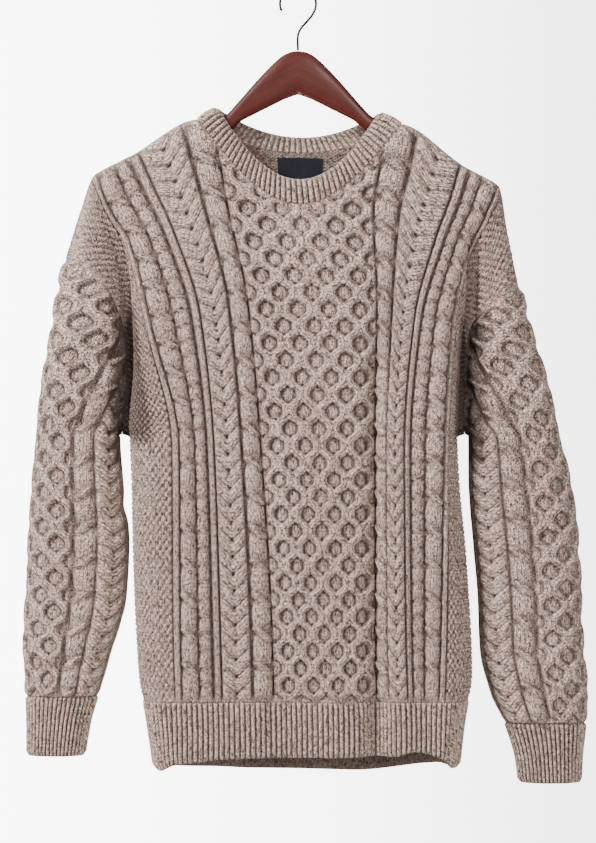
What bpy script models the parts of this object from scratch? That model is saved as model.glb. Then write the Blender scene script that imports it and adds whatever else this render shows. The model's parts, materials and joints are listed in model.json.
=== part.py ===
"""Crewneck cable sweater on a wooden hanger with a wire hook.

Lengths are in millimetres until a mesh is made. +Z is up, the front faces -Y, and the
origin is the inside top of the hook, where a rail carries it. A course is a height on a
panel, counted from the hem seam. A wale is a place across a panel, counted from its
middle, negative towards -X.
"""
import math
from functools import lru_cache
from typing import NamedTuple

import bpy
import numpy as np

MM = 0.001
LEFT = -1
RIGHT = 1
FRONT = -1
BACK = 1
SIDES = (LEFT, RIGHT)
FACES = (FRONT, BACK)

# The wall and its gaps
WALL_UNDER = 4.5
RAISED = 2.0
SUNK = -2.0
SEAM_GAP = 0.3

# The cut of the panels
HALF_PANEL = 300.0
FACE_WALE = 194.0
HEM_LEVEL = -768.0
SHOULDER_COURSE = 626.0
UNDERARM_COURSE = 284.0
UNDERARM_LEVEL = HEM_LEVEL + UNDERARM_COURSE
NECK_WALE = 82.0
FRONT_NECK_DEPTH = 94.0
BACK_NECK_DEPTH = 36.0
BACK_HEM_SAG = 22.0

# Round edges: how far each turns in, and how square it is
ROUND_POWER = 2.2
SHOULDER_TURN = 26.0
BODY_TURN = 28.0
ARM_TURN = 34.0
VALLEY_FLOOR = 14.0
SLOT_ROUND = 10.0

# The pattern's repeats, and how calmly it ends at the seams above and below
STITCH_ROW = 12.13
CELL_ROWS = 3
CELL_WALE = 16.0
CELL_COLUMNS = 4
MOSS_RAISED = 0.5
TOP_CLEAR = 0.55 * STITCH_ROW
SLEEVE_TOP_CLEAR = 0.7 * STITCH_ROW
CALM_ABOVE = 14.0
CALM_BELOW = 8.0

# Where the builder samples the smooth surfaces
GRID_STEP = 5.0
ROW_SAMPLES = 90
KNOT_SOFT = 9.0
LOWEST_LEVEL = -870.0
SHARP_DEGREES = 50.0


class PanelRow(NamedTuple):
    """Where the main wales of the front lie, at one course."""
    course: float
    middle: float
    cells_left: float
    cells_right: float
    line_left: float
    line_right: float
    face_left: float
    face_right: float


PANEL_ROWS = (
    PanelRow(-30, 31, -20, 82, -84, 120, -124, 150),
    PanelRow(84, 28, -23, 80, -87, 116, -127, 154),
    PanelRow(268, 23, -35, 80, -93, 114, -128, 158),
    PanelRow(430, 16, -50, 81, -108, 127, -160, 166),
    PanelRow(532, 2, -71, 75, -139, 154, -182, 184),
    PanelRow(580, 1, -78, 82, -160, 170, -205, 202),
    PanelRow(626, 0, -84, 88, -180, 182, -220, 217),
)
CELLS_WALE = 62.0
LINE_WALE = 141.0


class ShoulderRow(NamedTuple):
    """How far the shoulder seam lies below the neck corner, and where it ends up."""
    wale: float
    drop_left: float
    drop_right: float
    ridge_left: float
    ridge_right: float


SHOULDER_ROWS = (
    ShoulderRow(0, 0, 0, 0, 0),
    ShoulderRow(82, 1, 6, -108, 110),
    ShoulderRow(141, 39, 52, -180, 182),
    ShoulderRow(194, 61, 73, -220, 217),
    ShoulderRow(245, 97, 122, -234, 226),
    ShoulderRow(300, 151, 181, -251, 238),
)


class LevelRow(NamedTuple):
    """The sweater's outline and depths at one level below the hook."""
    level: float
    body_left: float
    body_right: float
    front_depth: float
    back_depth: float


BODY_LEVELS = (
    LevelRow(-870, -150, 170, 44, 44),
    LevelRow(-843, -153, 172, 46, 45),
    LevelRow(-795, -161, 178, 49, 46),
    LevelRow(-740, -171, 187, 50, 46),
    LevelRow(-618, -177, 181, 50, 44),
    LevelRow(-530, -179, 173, 50, 42),
    LevelRow(-478, -181, 171, 48, 40),
    LevelRow(-405, -176, 173, 44, 37),
    LevelRow(-325, -179, 180, 36, 32),
    LevelRow(-278, -187, 181, 29, 27),
    LevelRow(-235, -202, 192, 22, 22),
    LevelRow(-190, -222, 210, 18, 18),
    LevelRow(-140, -240, 230, 17, 17),
)


class ArmRow(NamedTuple):
    """A sleeve's outer edge, inner edge and half depth at one level."""
    level: float
    outer_left: float
    inner_left: float
    outer_right: float
    inner_right: float
    depth: float


ARM_LEVELS = (
    ArmRow(-870, -291, -233, 305, 240, 21),
    ArmRow(-835, -292, -231, 306, 236, 21),
    ArmRow(-795, -292, -225, 310, 224, 23),
    ArmRow(-764, -293, -216, 311, 209, 26),
    ArmRow(-715, -294, -201, 306, 197, 29),
    ArmRow(-660, -292, -186, 304, 195, 32),
    ArmRow(-600, -289, -183, 301, 190, 33),
    ArmRow(-530, -284, -190, 291, 185, 34),
    ArmRow(-484, -280, -193, 280, 185, 34),
    ArmRow(-425, -274, -193, 267, 184, 33),
    ArmRow(-380, -266, -190, 253, 183, 32),
    ArmRow(-320, -257, -190, 238, 185, 29),
    ArmRow(-270, -242, -195, 227, 190, 26),
    ArmRow(-230, -232, -200, 222, 195, 22),
    ArmRow(-200, -220, -205, 217, 200, 18),
    ArmRow(-140, -106, -90, 107, 90, 17),
)


class ValleyRow(NamedTuple):
    """How deep the cloth between body and sleeve still stands off the middle."""
    level: float
    stand_off: float


VALLEY_LEVELS = (
    ValleyRow(-484, 9.0),
    ValleyRow(-400, 9.5),
    ValleyRow(-330, 11.0),
    ValleyRow(-290, 14.0),
    ValleyRow(-262, 19.0),
    ValleyRow(-235, 22.0),
    ValleyRow(-140, 22.0),
)


class ArmholeRow(NamedTuple):
    """Where the armhole seam crosses each level."""
    level: float
    seam_left: float
    seam_right: float


ARMHOLE_LEVELS = (
    ArmholeRow(-484, -190, 180),
    ArmholeRow(-466, -188, 178),
    ArmholeRow(-400, -184, 180),
    ArmholeRow(-372, -187, 184),
    ArmholeRow(-340, -197, 210),
    ArmholeRow(-323, -206, 238),
    ArmholeRow(-314, -214, 238),
    ArmholeRow(-298, -233, 238),
    ArmholeRow(-293, -251, 238),
)


class Fold(NamedTuple):
    """One soft trough or ridge down a panel: where it runs, how wide and how deep."""
    face: int
    top_level: float
    top_place: float
    foot_place: float
    half_width: float
    height: float


FOLDS = (
    Fold(FRONT, -350, 81, 83, 11, -14),
    Fold(FRONT, -350, 98, 110, 14, 5),
    Fold(FRONT, -400, -42, -24, 15, -6),
    Fold(FRONT, -690, 46, 40, 20, 5),
    Fold(FRONT, -700, 152, 152, 13, 5),
    Fold(FRONT, -600, -120, -112, 24, 5),
    Fold(BACK, -380, -70, -62, 22, -9),
    Fold(BACK, -400, 58, 66, 22, -9),
    Fold(BACK, -560, 0, 2, 26, 5),
)
FOLD_FADE = 90.0


class Cable(NamedTuple):
    """One column of the knit, on both sides of the middle: its wale and its form."""
    wale: float
    form: str


class FormRow(NamedTuple):
    """How far a form stands out at its crossings and between them, and its steps."""
    steps: int
    crossing: float
    crest: float


FORMS = {
    "edge": FormRow(CELL_ROWS, 1.2, RAISED),
    "gutter": FormRow(1, SUNK, SUNK),
    "rope": FormRow(CELL_ROWS, 0.5, 2.4),
    "braid": FormRow(2, 0.6, 2.4),
}


CABLES = (
    Cable(60, "edge"),
    Cable(68, "gutter"),
    Cable(82, "rope"),
    Cable(95, "gutter"),
    Cable(106, "braid"),
    Cable(126, "braid"),
    Cable(136, "gutter"),
    Cable(151, "rope"),
    Cable(165, "gutter"),
    Cable(180, "rope"),
    Cable(194, "gutter"),
    Cable(214, "moss"),
    Cable(236, "moss"),
    Cable(258, "moss"),
    Cable(280, "moss"),
)
INNER_WALES = (0, 16, 32, 48, 60, 68, 82, 106, 136, 165, 194, 214, 236, 258, 280, 300)
INNER_COURSES = (90, 180, 260, 288, 312, 345, 385, 425, 447, 465, 482, 500, 517, 540, 565, 588, 604,
                 616)
INNER_CLEAR = 7.0
NECK_CORNER_WALES = (72.0, 76.0, 79.0, 81.0)

# Rib bands
RIB_RAISED = 1.2
RIB_SUNK = -1.0
RIB_UNDER = 4.0
HEM_RIB = 60.0
HEM_RIBS = 60
HEM_INNER_STEP = 4
HEM_GAP = 0.45
CUFF_SEAM_LEFT = -764.0
CUFF_SEAM_RIGHT = -793.0
CUFF_RIB = 65.0
CUFF_RIBS = 25
CUFF_INNER = 18
BAND_RIBS = 62


class HemRow(NamedTuple):
    """How tall the hem's rib is at a wale, in front and behind."""
    wale: float
    front_rib: float
    back_rib: float


HEM_ROWS = (
    HemRow(-300, 73, 73),
    HemRow(-250, 75, 70),
    HemRow(-200, 66, 66),
    HemRow(-100, 60, 60),
    HemRow(0, 59, 60),
    HemRow(100, 58, 60),
    HemRow(150, 53, 60),
    HemRow(200, 60, 62),
    HemRow(240, 72, 68),
    HemRow(300, 73, 73),
)


class SleeveCable(NamedTuple):
    """One column of a sleeve's knit, on both faces: its share of the way to the underarm."""
    share: float
    form: str


SLEEVE_CABLES = (
    SleeveCable(0.0, "cell"),
    SleeveCable(0.12, "cell"),
    SleeveCable(0.24, "cell"),
    SleeveCable(0.36, "cell"),
    SleeveCable(0.44, "gutter"),
    SleeveCable(0.53, "rope"),
    SleeveCable(0.62, "gutter"),
    SleeveCable(0.70, "braid"),
    SleeveCable(0.80, "braid"),
    SleeveCable(0.88, "gutter"),
)
SLEEVE_INNER_SHARES = (-1.0, -0.93, -0.84, -0.68, -0.5, -0.32, -0.15, 0.0, 0.15, 0.32, 0.5, 0.68,
                       0.84, 0.93)
SLEEVE_INNER_DOWNS = (1.0, 0.85, 0.7, 0.56, 0.44, 0.33, 0.24, 0.16, 0.09, 0.04)
SLEEVE_GRID = 40
SLEEVE_GRID_ROWS = 70
SLOT_CLEAR = 16.0
ARMHOLE_GAP_OUT = 0.45
ARMHOLE_GAP_DOWN = 0.6
UNDERARM_CLEAR = 9.0
UNDERARM_RISE = 3.0
UNDERARM_TUCK = 1.5
UNDERARM_REACH = 20.0

# The neckband's upper edge, and its gap to the panels
BAND_HALF_WIDTH = 86.0
BAND_PEAK_LEVEL = -130.0
BAND_RIGHT_DROP = 6.0
BAND_FRONT_FALL = 76.0
BAND_BACK_FALL = 28.0
BAND_DEPTH = 20.0
BAND_ROUND = 0.6
BAND_UNDER = 4.3
BAND_ROLL = 2.0
BAND_GAP = 0.7
BAND_SAMPLES = 721
BAND_TURN_STEP = 0.02

# The labels' edges on the back, as wales and courses
LABEL_LEFT = -18.0
LABEL_RIGHT = 20.0
LABEL_LOW = 562.0
LABEL_HIGH = 585.0
TAB_LEFT = -1.0
TAB_RIGHT = 9.0
TAB_LOW = 553.0
TAB_HIGH = 561.5
LABEL_THICK = 0.9
LABEL_GAP = 0.35
LABEL_STEPS = 5

# The hanger: its wire and its wood's section
WIRE_RADIUS = 1.4
WIRE_SIDES = 6
HOOK_RADIUS = 18.0
HOOK_START = -25.0
HOOK_END = 205.0
HOOK_STEPS = 18
WOOD_HALF = 5.5
WOOD_CROWN_HALF = 1.2
WOOD_CROWN = 4.8
WOOD_FOOT = 2.0
WOOD_FOOT_HALF = 4.5


class StemRow(NamedTuple):
    """A point of the wire below the loop."""
    across: float
    level: float


HOOK_STEM = (
    StemRow(0.0, -68.6),
    StemRow(-0.4, -57.0),
    StemRow(0.6, -49.7),
    StemRow(4.0, -43.7),
    StemRow(9.7, -37.2),
    StemRow(14.6, -31.4),
)


class HangerRow(NamedTuple):
    """The wooden arms' upper and lower edge at a distance from the middle."""
    place: float
    top: float
    underside: float


HANGER_ROWS = (
    HangerRow(0, -69, -116),
    HangerRow(8, -70, -119),
    HangerRow(16, -73.5, -122),
    HangerRow(24, -80, -126),
    HangerRow(36, -92, -132),
    HangerRow(48, -105, -138),
    HangerRow(60, -119, -144),
    HangerRow(76, -137, -158),
    HangerRow(92, -149, -170),
)
HANGER_REST_PLACES = (106, 120, 135, 150, 165, 178, 190, 200)
HANGER_ARM_HEIGHT = (20.0, 20.0, 20.0, 20.0, 20.0, 18.0, 15.0, 11.0)
HANGER_REST_GAP = 1.5


class Finish(NamedTuple):
    """A material's colour, roughness and metallic value."""
    red: float
    green: float
    blue: float
    roughness: float
    metallic: float


WOOL = Finish(0.40, 0.31, 0.26, 0.95, 0.0)
WOOD = Finish(0.115, 0.026, 0.017, 0.35, 0.0)
WIRE = Finish(0.012, 0.012, 0.013, 0.35, 0.9)
LABEL = Finish(0.02, 0.032, 0.05, 0.8, 0.0)
TAB = Finish(0.012, 0.012, 0.012, 0.8, 0.0)


def read(rows, key: str, column: str, at):
    """A smooth curve through one column of a table, read at one or many keys."""
    ordered = sorted(rows, key=lambda row: getattr(row, key))
    places = np.array([getattr(row, key) for row in ordered], float)
    values = np.array([getattr(row, column) for row in ordered], float)
    steps = np.diff(places)
    rises = np.diff(values) / steps
    slopes = np.zeros(len(places))
    slopes[0], slopes[-1] = rises[0], rises[-1]
    for i in range(1, len(places) - 1):
        before, after = rises[i - 1], rises[i]
        if before * after > 0:
            slopes[i] = 2 * before * after / (before + after)
    asked = np.clip(np.asarray(at, float), places[0], places[-1])
    cell = np.clip(np.searchsorted(places, asked, side="right") - 1, 0, len(steps) - 1)
    t = (asked - places[cell]) / steps[cell]
    rise = steps[cell]
    return ((1 + 2 * t) * (1 - t) ** 2 * values[cell] + t * (1 - t) ** 2 * rise * slopes[cell]
            + t * t * (3 - 2 * t) * values[cell + 1] - t * t * (1 - t) * rise * slopes[cell + 1])


def turned(share):
    """A round edge: 0 at the edge itself, 1 where the face is reached."""
    inward = 1 - np.clip(share, 0, 1)
    return (1 - inward ** ROUND_POWER) ** (1 / ROUND_POWER)


def eased(share):
    """A step from 0 to 1 with soft ends."""
    share = np.clip(share, 0, 1)
    return share * share * (3 - 2 * share)


def name_of(side: int) -> str:
    """The word for a side, as the tables' columns spell it."""
    return "left" if side == LEFT else "right"


def course_level(face: int, side: int, wale, course):
    """The level of a course at a wale: level at the hem, sloped at the shoulder."""
    drop = read(SHOULDER_ROWS, "wale", "drop_" + name_of(side), np.abs(wale))
    climb = np.clip((course - UNDERARM_COURSE) / (SHOULDER_COURSE - UNDERARM_COURSE), 0, 1)
    level = HEM_LEVEL + course - drop * climb
    if face == BACK:
        sag = BACK_HEM_SAG * (1 - (np.abs(wale) / HALF_PANEL) ** 2)
        level = level - sag * (1 - np.clip(course / UNDERARM_COURSE, 0, 1))
    return level


def face_place(side: int, wale, course: float):
    """Where a wale of the panel's face lies across, out to the start of the side turn."""
    word = name_of(side)
    knots = [float(read(PANEL_ROWS, "course", column, course)) for column in
             ("middle", "cells_" + word, "line_" + word, "face_" + word)]
    wales = (0.0, CELLS_WALE, LINE_WALE, FACE_WALE)
    size = np.abs(wale)
    place = np.interp(size, wales, knots)
    before = np.interp(np.clip(size - KNOT_SOFT, 0, None), wales, knots)
    blend = 0.5 * (before + np.interp(size + KNOT_SOFT, wales, knots))
    inside = (size > KNOT_SOFT) & (size < FACE_WALE - KNOT_SOFT)
    return np.where(inside, blend, place)


def outline_of(side: int):
    """The shoulder seam and the sleeve's outer edge, as one line of places and levels."""
    wales = np.linspace(NECK_WALE, HALF_PANEL, ROW_SAMPLES)
    word = name_of(side)
    ridge = read(SHOULDER_ROWS, "wale", "ridge_" + word, wales)
    levels = course_level(FRONT, side, wales, SHOULDER_COURSE)
    arm_levels = np.linspace(levels[-1] - GRID_STEP, LOWEST_LEVEL, ROW_SAMPLES)
    edge = read(ARM_LEVELS, "level", "outer_" + word, arm_levels)
    return np.concatenate([ridge, edge]), np.concatenate([levels, arm_levels])


OUTLINES = {side: outline_of(side) for side in SIDES}


def outline_distance(side: int, place, level):
    """How far points lie inside the shoulder and sleeve outline."""
    xs, zs = OUTLINES[side]
    px = np.atleast_1d(place)[:, None]
    pz = np.atleast_1d(level)[:, None]
    dx, dz = np.diff(xs)[None, :], np.diff(zs)[None, :]
    t = np.clip(((px - xs[None, :-1]) * dx + (pz - zs[None, :-1]) * dz) / (dx * dx + dz * dz), 0, 1)
    gap = np.hypot(px - xs[None, :-1] - t * dx, pz - zs[None, :-1] - t * dz)
    return gap.min(axis=1)


def fold_depth(face: int, place, level):
    """What the folds add to the depth at points of a face."""
    total = np.zeros_like(np.asarray(place, float))
    for fold in FOLDS:
        if fold.face != face:
            continue
        down = np.clip((fold.top_level - level) / (fold.top_level - HEM_LEVEL), 0, 1.2)
        path = fold.top_place + (fold.foot_place - fold.top_place) * down
        strength = eased((fold.top_level - level) / FOLD_FADE)
        total += fold.height * strength * np.exp(-((place - path) / fold.half_width) ** 2)
    return total


def yoke_depth(face: int, side: int, place, level):
    """Half depth of the body and of the sleeve beside it, with the valley between them."""
    word = name_of(side)
    size = np.abs(place)
    body_edge = np.abs(read(BODY_LEVELS, "level", "body_" + word, level))
    full = read(BODY_LEVELS, "level", "front_depth" if face == FRONT else "back_depth", level)
    arm = read(ARM_LEVELS, "level", "depth", level)
    valley = read(VALLEY_LEVELS, "level", "stand_off", level)
    valley = valley * eased((level - UNDERARM_LEVEL) / SLOT_ROUND)
    valley = np.minimum(valley, np.minimum(full, arm))
    folded = full + fold_depth(face, place, level)
    body = valley + (folded - valley) * turned((body_edge - size) / BODY_TURN)
    sleeve = valley + (arm - valley) * turned((size - body_edge - VALLEY_FLOOR) / ARM_TURN)
    beside = np.where(size < body_edge + VALLEY_FLOOR, valley, sleeve)
    depth = np.where(size <= body_edge, body, beside)
    above = level >= UNDERARM_LEVEL
    distance = outline_distance(side, place, level)
    return np.where(above, depth * turned(distance / SHOULDER_TURN), depth)


def edge_place(side: int, course: float) -> float:
    """Where the panel's own edge lies: the side seam, then the armhole seam."""
    level = float(course_level(FRONT, side, HALF_PANEL, course))
    if course <= UNDERARM_COURSE:
        return float(read(BODY_LEVELS, "level", "body_" + name_of(side), level))
    return float(read(ARMHOLE_LEVELS, "level", "seam_" + name_of(side), level))


def running_lengths(line):
    """The length of a line of points up to each of them."""
    return np.concatenate([[0], np.cumsum(np.linalg.norm(np.diff(line, axis=0), axis=1))])


def panel_row(face: int, side: int, course: float, wales):
    """Points of one half course of a panel."""
    wales = np.asarray(wales, float)
    place = face_place(side, wales, course)
    level = course_level(face, side, wales, course)
    depth = yoke_depth(face, side, place, level)
    points = np.stack([place, face * depth, level], axis=1)
    start = float(face_place(side, np.array([FACE_WALE]), course)[0])
    end = edge_place(side, course)
    if course >= SHOULDER_COURSE:
        sizes = np.linspace(FACE_WALE, HALF_PANEL, ROW_SAMPLES)
        xs = read(SHOULDER_ROWS, "wale", "ridge_" + name_of(side), sizes)
        xs[0], xs[-1] = start, end
        zs = course_level(face, side, sizes, course)
    else:
        share = np.sin(np.linspace(0, math.pi / 2, ROW_SAMPLES))
        xs = start + (end - start) * share
        zs = course_level(face, side, FACE_WALE + (HALF_PANEL - FACE_WALE) * share, course)
    ys = face * yoke_depth(face, side, xs, zs)
    if course <= UNDERARM_COURSE or course >= SHOULDER_COURSE:
        ys[-1] = 0.0
    lengths = running_lengths(np.stack([xs, ys, zs], axis=1))
    asked = (np.abs(wales) - FACE_WALE) / (HALF_PANEL - FACE_WALE) * lengths[-1]
    beyond = np.abs(wales) > FACE_WALE
    lines = (xs, ys) if course <= UNDERARM_COURSE else (xs, ys, zs)
    for axis, line in enumerate(lines):
        points[beyond, axis] = np.interp(asked[beyond], lengths, line)
    if course >= SHOULDER_COURSE:
        points[:, 1] = 0.0
    return points


class Sheet:
    """A smooth surface kept as a fine grid, read between its points."""

    def __init__(self, across, along, points):
        self.across, self.along, self.points = across, along, points
        tangent_across = np.gradient(points, axis=1)
        tangent_along = np.gradient(points, axis=0)
        normal = np.cross(tangent_across, tangent_along)
        self.normals = normal / np.maximum(np.linalg.norm(normal, axis=2, keepdims=True), 1e-9)

    def turn_over(self):
        """Points the normals the other way."""
        self.normals = -self.normals

    def blend(self, grid, across: float, along: float):
        """A grid's value between its points."""
        i = int(np.clip(np.searchsorted(self.across, across) - 1, 0, len(self.across) - 2))
        j = int(np.clip(np.searchsorted(self.along, along) - 1, 0, len(self.along) - 2))
        s = (across - self.across[i]) / (self.across[i + 1] - self.across[i])
        t = (along - self.along[j]) / (self.along[j + 1] - self.along[j])
        return ((1 - t) * ((1 - s) * grid[j, i] + s * grid[j, i + 1])
                + t * ((1 - s) * grid[j + 1, i] + s * grid[j + 1, i + 1]))

    def at(self, across: float, along: float):
        """A point and its outward normal."""
        normal = self.blend(self.normals, across, along)
        return self.blend(self.points, across, along), normal / np.linalg.norm(normal)


@lru_cache(maxsize=None)
def panel_sheet(face: int) -> Sheet:
    """The nominal outer surface of the front or the back."""
    half = np.arange(0, HALF_PANEL + GRID_STEP / 2, GRID_STEP)
    courses = np.concatenate([np.arange(0, SHOULDER_COURSE - 2, GRID_STEP), [SHOULDER_COURSE]])
    rows = []
    for course in courses:
        left = panel_row(face, LEFT, course, -half[1:][::-1])
        right = panel_row(face, RIGHT, course, half)
        rows.append(np.concatenate([left, right]))
    wales = np.concatenate([-half[1:][::-1], half])
    sheet = Sheet(wales, courses, np.array(rows))
    if face == BACK:
        sheet.turn_over()
    edge_rule(sheet, face)
    return sheet


def edge_rule(sheet: Sheet, face: int) -> None:
    """Squares the normals to the seams at the shoulder, the hem and the sides."""
    sheet.normals[-1, :, 1] = 0.0
    sheet.normals[0, :, 2] = 0.0
    below = sheet.along <= UNDERARM_COURSE
    for column in (0, -1):
        sheet.normals[below, column, 1] = 0.0
    lengths = np.linalg.norm(sheet.normals, axis=2, keepdims=True)
    sheet.normals /= np.maximum(lengths, 1e-9)


def neck_course(face: int, wale: float) -> float:
    """The course where the neck scoop cuts a wale."""
    depth = FRONT_NECK_DEPTH if face == FRONT else BACK_NECK_DEPTH
    inside = 1 - min(abs(wale) / NECK_WALE, 1) ** 2
    return SHOULDER_COURSE - depth * inside


def top_course(face: int, wale: float) -> float:
    """The course where a wale ends, at the neck or at the shoulder."""
    return neck_course(face, wale) if abs(wale) < NECK_WALE else SHOULDER_COURSE


def relief(form: str, step: int, column: int) -> float:
    """How far the knit stands out at one step up a column."""
    if form == "cell":
        pit = step % CELL_ROWS == (0 if column % 2 == 0 else 1)
        return SUNK if pit else RAISED
    if form == "moss":
        return MOSS_RAISED if (step + column) % 2 == 0 else -MOSS_RAISED
    row = FORMS[form]
    return row.crossing if step % row.steps == 0 else row.crest


class Spot(NamedTuple):
    """One vertex of a wall before it is placed: where it lies and how far it stands out."""
    across: float
    along: float
    out: float


def panel_columns(face: int) -> list:
    """The outer columns of a panel, from its left seam to its right seam."""
    half = [(CELL_WALE * i, "cell") for i in range(CELL_COLUMNS)]
    half += [(cable.wale, cable.form) for cable in CABLES]
    half.append((HALF_PANEL, "seam"))
    signed = [(-wale, form, i) for i, (wale, form) in enumerate(half) if i][::-1]
    signed += [(wale, form, i) for i, (wale, form) in enumerate(half)]
    columns = []
    for wale, form, index in signed:
        top = top_course(face, wale)
        shift = STITCH_ROW / 2 if index % 2 and form != "seam" else 0.0
        spots = [Spot(wale, 0.0, 0.0)]
        step = 1
        while True:
            course = step * STITCH_ROW + shift
            if course > top - TOP_CLEAR:
                break
            out = 0.0 if form == "seam" else relief(form, step, index)
            spots.append(Spot(wale, course, out * shoulder_calm(top, course)))
            step += 1
        if form == "seam":
            spots.append(Spot(wale, top, 0.0))
        columns.append(spots)
    return columns


def shoulder_calm(top: float, course: float) -> float:
    """Lowers the relief close to the seams above and below."""
    return float(eased((top - course) / CALM_ABOVE) * eased(course / CALM_BELOW))


def inner_columns(face: int) -> list:
    """The plain inner columns of a panel, which end at the same seams."""
    signed = [-wale for wale in INNER_WALES if wale][::-1] + list(INNER_WALES)
    seams = panel_columns(face)
    columns = [seams[0]]
    for wale in signed[1:-1]:
        top = top_course(face, wale)
        spots = [Spot(wale, 0.0, 0.0)]
        spots += [Spot(wale, course, 0.0) for course in INNER_COURSES if course < top - INNER_CLEAR]
        columns.append(spots)
    columns.append(seams[-1])
    return columns


def top_edge_wales(face: int) -> list:
    """The places of a panel's upper edge, closer together at the neck corners."""
    wales = {spots[0].across for spots in panel_columns(face)}
    wales |= {side * wale for side in SIDES for wale in NECK_CORNER_WALES}
    return sorted(wales)


class Mesh:
    """Vertices and faces of one solid while it is put together."""

    def __init__(self):
        self.vertices, self.faces = [], []

    def add(self, point) -> int:
        """Adds a vertex and gives its number."""
        self.vertices.append(tuple(float(value) * MM for value in point))
        return len(self.vertices) - 1

    def gap(self, first: int, second: int) -> float:
        """The distance between two vertices."""
        return math.dist(self.vertices[first], self.vertices[second])

    def strip(self, first: list, second: list, first_at: list, second_at: list, flip: bool) -> None:
        """Joins two lines of vertices with triangles, in step with their places."""
        i = j = 0
        while i < len(first) - 1 or j < len(second) - 1:
            if i == len(first) - 1 or j == len(second) - 1:
                take_first = j == len(second) - 1
            elif first_at[i] == second_at[j] and first_at[i + 1] == second_at[j + 1]:
                take_first = self.gap(first[i + 1], second[j]) <= self.gap(first[i], second[j + 1])
            else:
                take_first = first_at[i + 1] + first_at[i] <= second_at[j + 1] + second_at[j]
            if take_first:
                face = (first[i], second[j], first[i + 1])
                i += 1
            else:
                face = (first[i], second[j], second[j + 1])
                j += 1
            self.faces.append(face[::-1] if flip else face)


def build(name: str, mesh: Mesh, finish: Finish):
    """Makes the object of a finished mesh, its faces pointing out."""
    data = bpy.data.meshes.new(name)
    data.from_pydata(mesh.vertices, [], mesh.faces)
    data.validate()
    corner = np.array([vertex.co for vertex in data.vertices])
    volume = 0.0
    for face in data.polygons:
        a, b, c = (corner[number] for number in face.vertices[:3])
        volume += float(np.dot(a, np.cross(b, c)))
    if volume < 0:
        data.flip_normals()
    data.shade_smooth()
    data.set_sharp_from_angle(angle=math.radians(SHARP_DEGREES))
    item = bpy.data.objects.new(name, data)
    bpy.context.collection.objects.link(item)
    item.data.materials.append(material(finish, name))
    return item


def material(finish: Finish, name: str):
    """A plain material of one finish."""
    made = bpy.data.materials.new(name + "_finish")
    made.use_nodes = True
    shader = made.node_tree.nodes["Principled BSDF"]
    shader.inputs["Base Color"].default_value = (finish.red, finish.green, finish.blue, 1)
    shader.inputs["Roughness"].default_value = finish.roughness
    shader.inputs["Metallic"].default_value = finish.metallic
    return made


def ends(columns: list, numbers: list, end: int, turn: float) -> tuple:
    """The vertices and places along one end of all columns, round again where turn is set."""
    line = [ids[end] for ids in numbers]
    places = [spots[end].across for spots in columns]
    if turn:
        line.append(line[0])
        places.append(places[0] + turn)
    return line, places


def wall(name: str, outer: list, inner: list, outer_point, inner_point, finish: Finish,
         turn: float = 0.0, top_ring: list | None = None):
    """A wall between outer and inner columns of spots, closed along its edges.

    With turn set the columns go once round. top_ring gives the places and points of a finer
    upper edge, as (across, outer point, inner point); on an open wall it runs between the
    first and the last column's own ends.
    """
    mesh = Mesh()
    outer_ids = [[mesh.add(outer_point(spot)) for spot in spots] for spots in outer]
    inner_ids = [[mesh.add(inner_point(spot)) for spot in spots] for spots in inner]
    for columns, ids, flip in ((outer, outer_ids, False), (inner, inner_ids, True)):
        count = len(ids) if turn else len(ids) - 1
        for k in range(count):
            other = (k + 1) % len(ids)
            own_at = [spot.along for spot in columns[k]]
            other_at = [spot.along for spot in columns[other]]
            mesh.strip(ids[k], ids[other], own_at, other_at, flip)
    outer_top, outer_places = ends(outer, outer_ids, -1, turn)
    inner_top, inner_places = ends(inner, inner_ids, -1, turn)
    if top_ring:
        outer_ring = [mesh.add(row[1]) for row in top_ring]
        inner_ring = [mesh.add(row[2]) for row in top_ring]
        ring_places = [row[0] for row in top_ring]
        if turn:
            ring_places.append(ring_places[0] + turn)
            outer_ring.append(outer_ring[0])
            inner_ring.append(inner_ring[0])
        else:
            ring_places = [outer_places[0]] + ring_places + [outer_places[-1]]
            outer_ring = [outer_top[0]] + outer_ring + [outer_top[-1]]
            inner_ring = [inner_top[0]] + inner_ring + [inner_top[-1]]
        mesh.strip(outer_top, outer_ring, outer_places, ring_places, True)
        mesh.strip(inner_top, inner_ring, inner_places, ring_places, False)
        outer_top, inner_top = outer_ring, inner_ring
        outer_places = inner_places = ring_places
    mesh.strip(outer_top, inner_top, outer_places, inner_places, True)
    outer_foot, outer_places = ends(outer, outer_ids, 0, turn)
    inner_foot, inner_places = ends(inner, inner_ids, 0, turn)
    mesh.strip(outer_foot, inner_foot, outer_places, inner_places, False)
    if not turn:
        for end, flip in ((0, True), (-1, False)):
            mesh.strip(outer_ids[end], inner_ids[end], [s.along for s in outer[end]],
                       [s.along for s in inner[end]], flip)
    return build(name, mesh, finish)


def parted(face: int, point, across: float, along: float):
    """Keeps the two faces apart at their seams, and each on its own side of the middle."""
    moved = np.array(point, float)
    if along >= SHOULDER_COURSE or (along <= UNDERARM_COURSE and abs(across) >= HALF_PANEL):
        moved[1] = face * SEAM_GAP / 2
    moved[1] = face * max(face * moved[1], SEAM_GAP / 2)
    return moved


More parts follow.
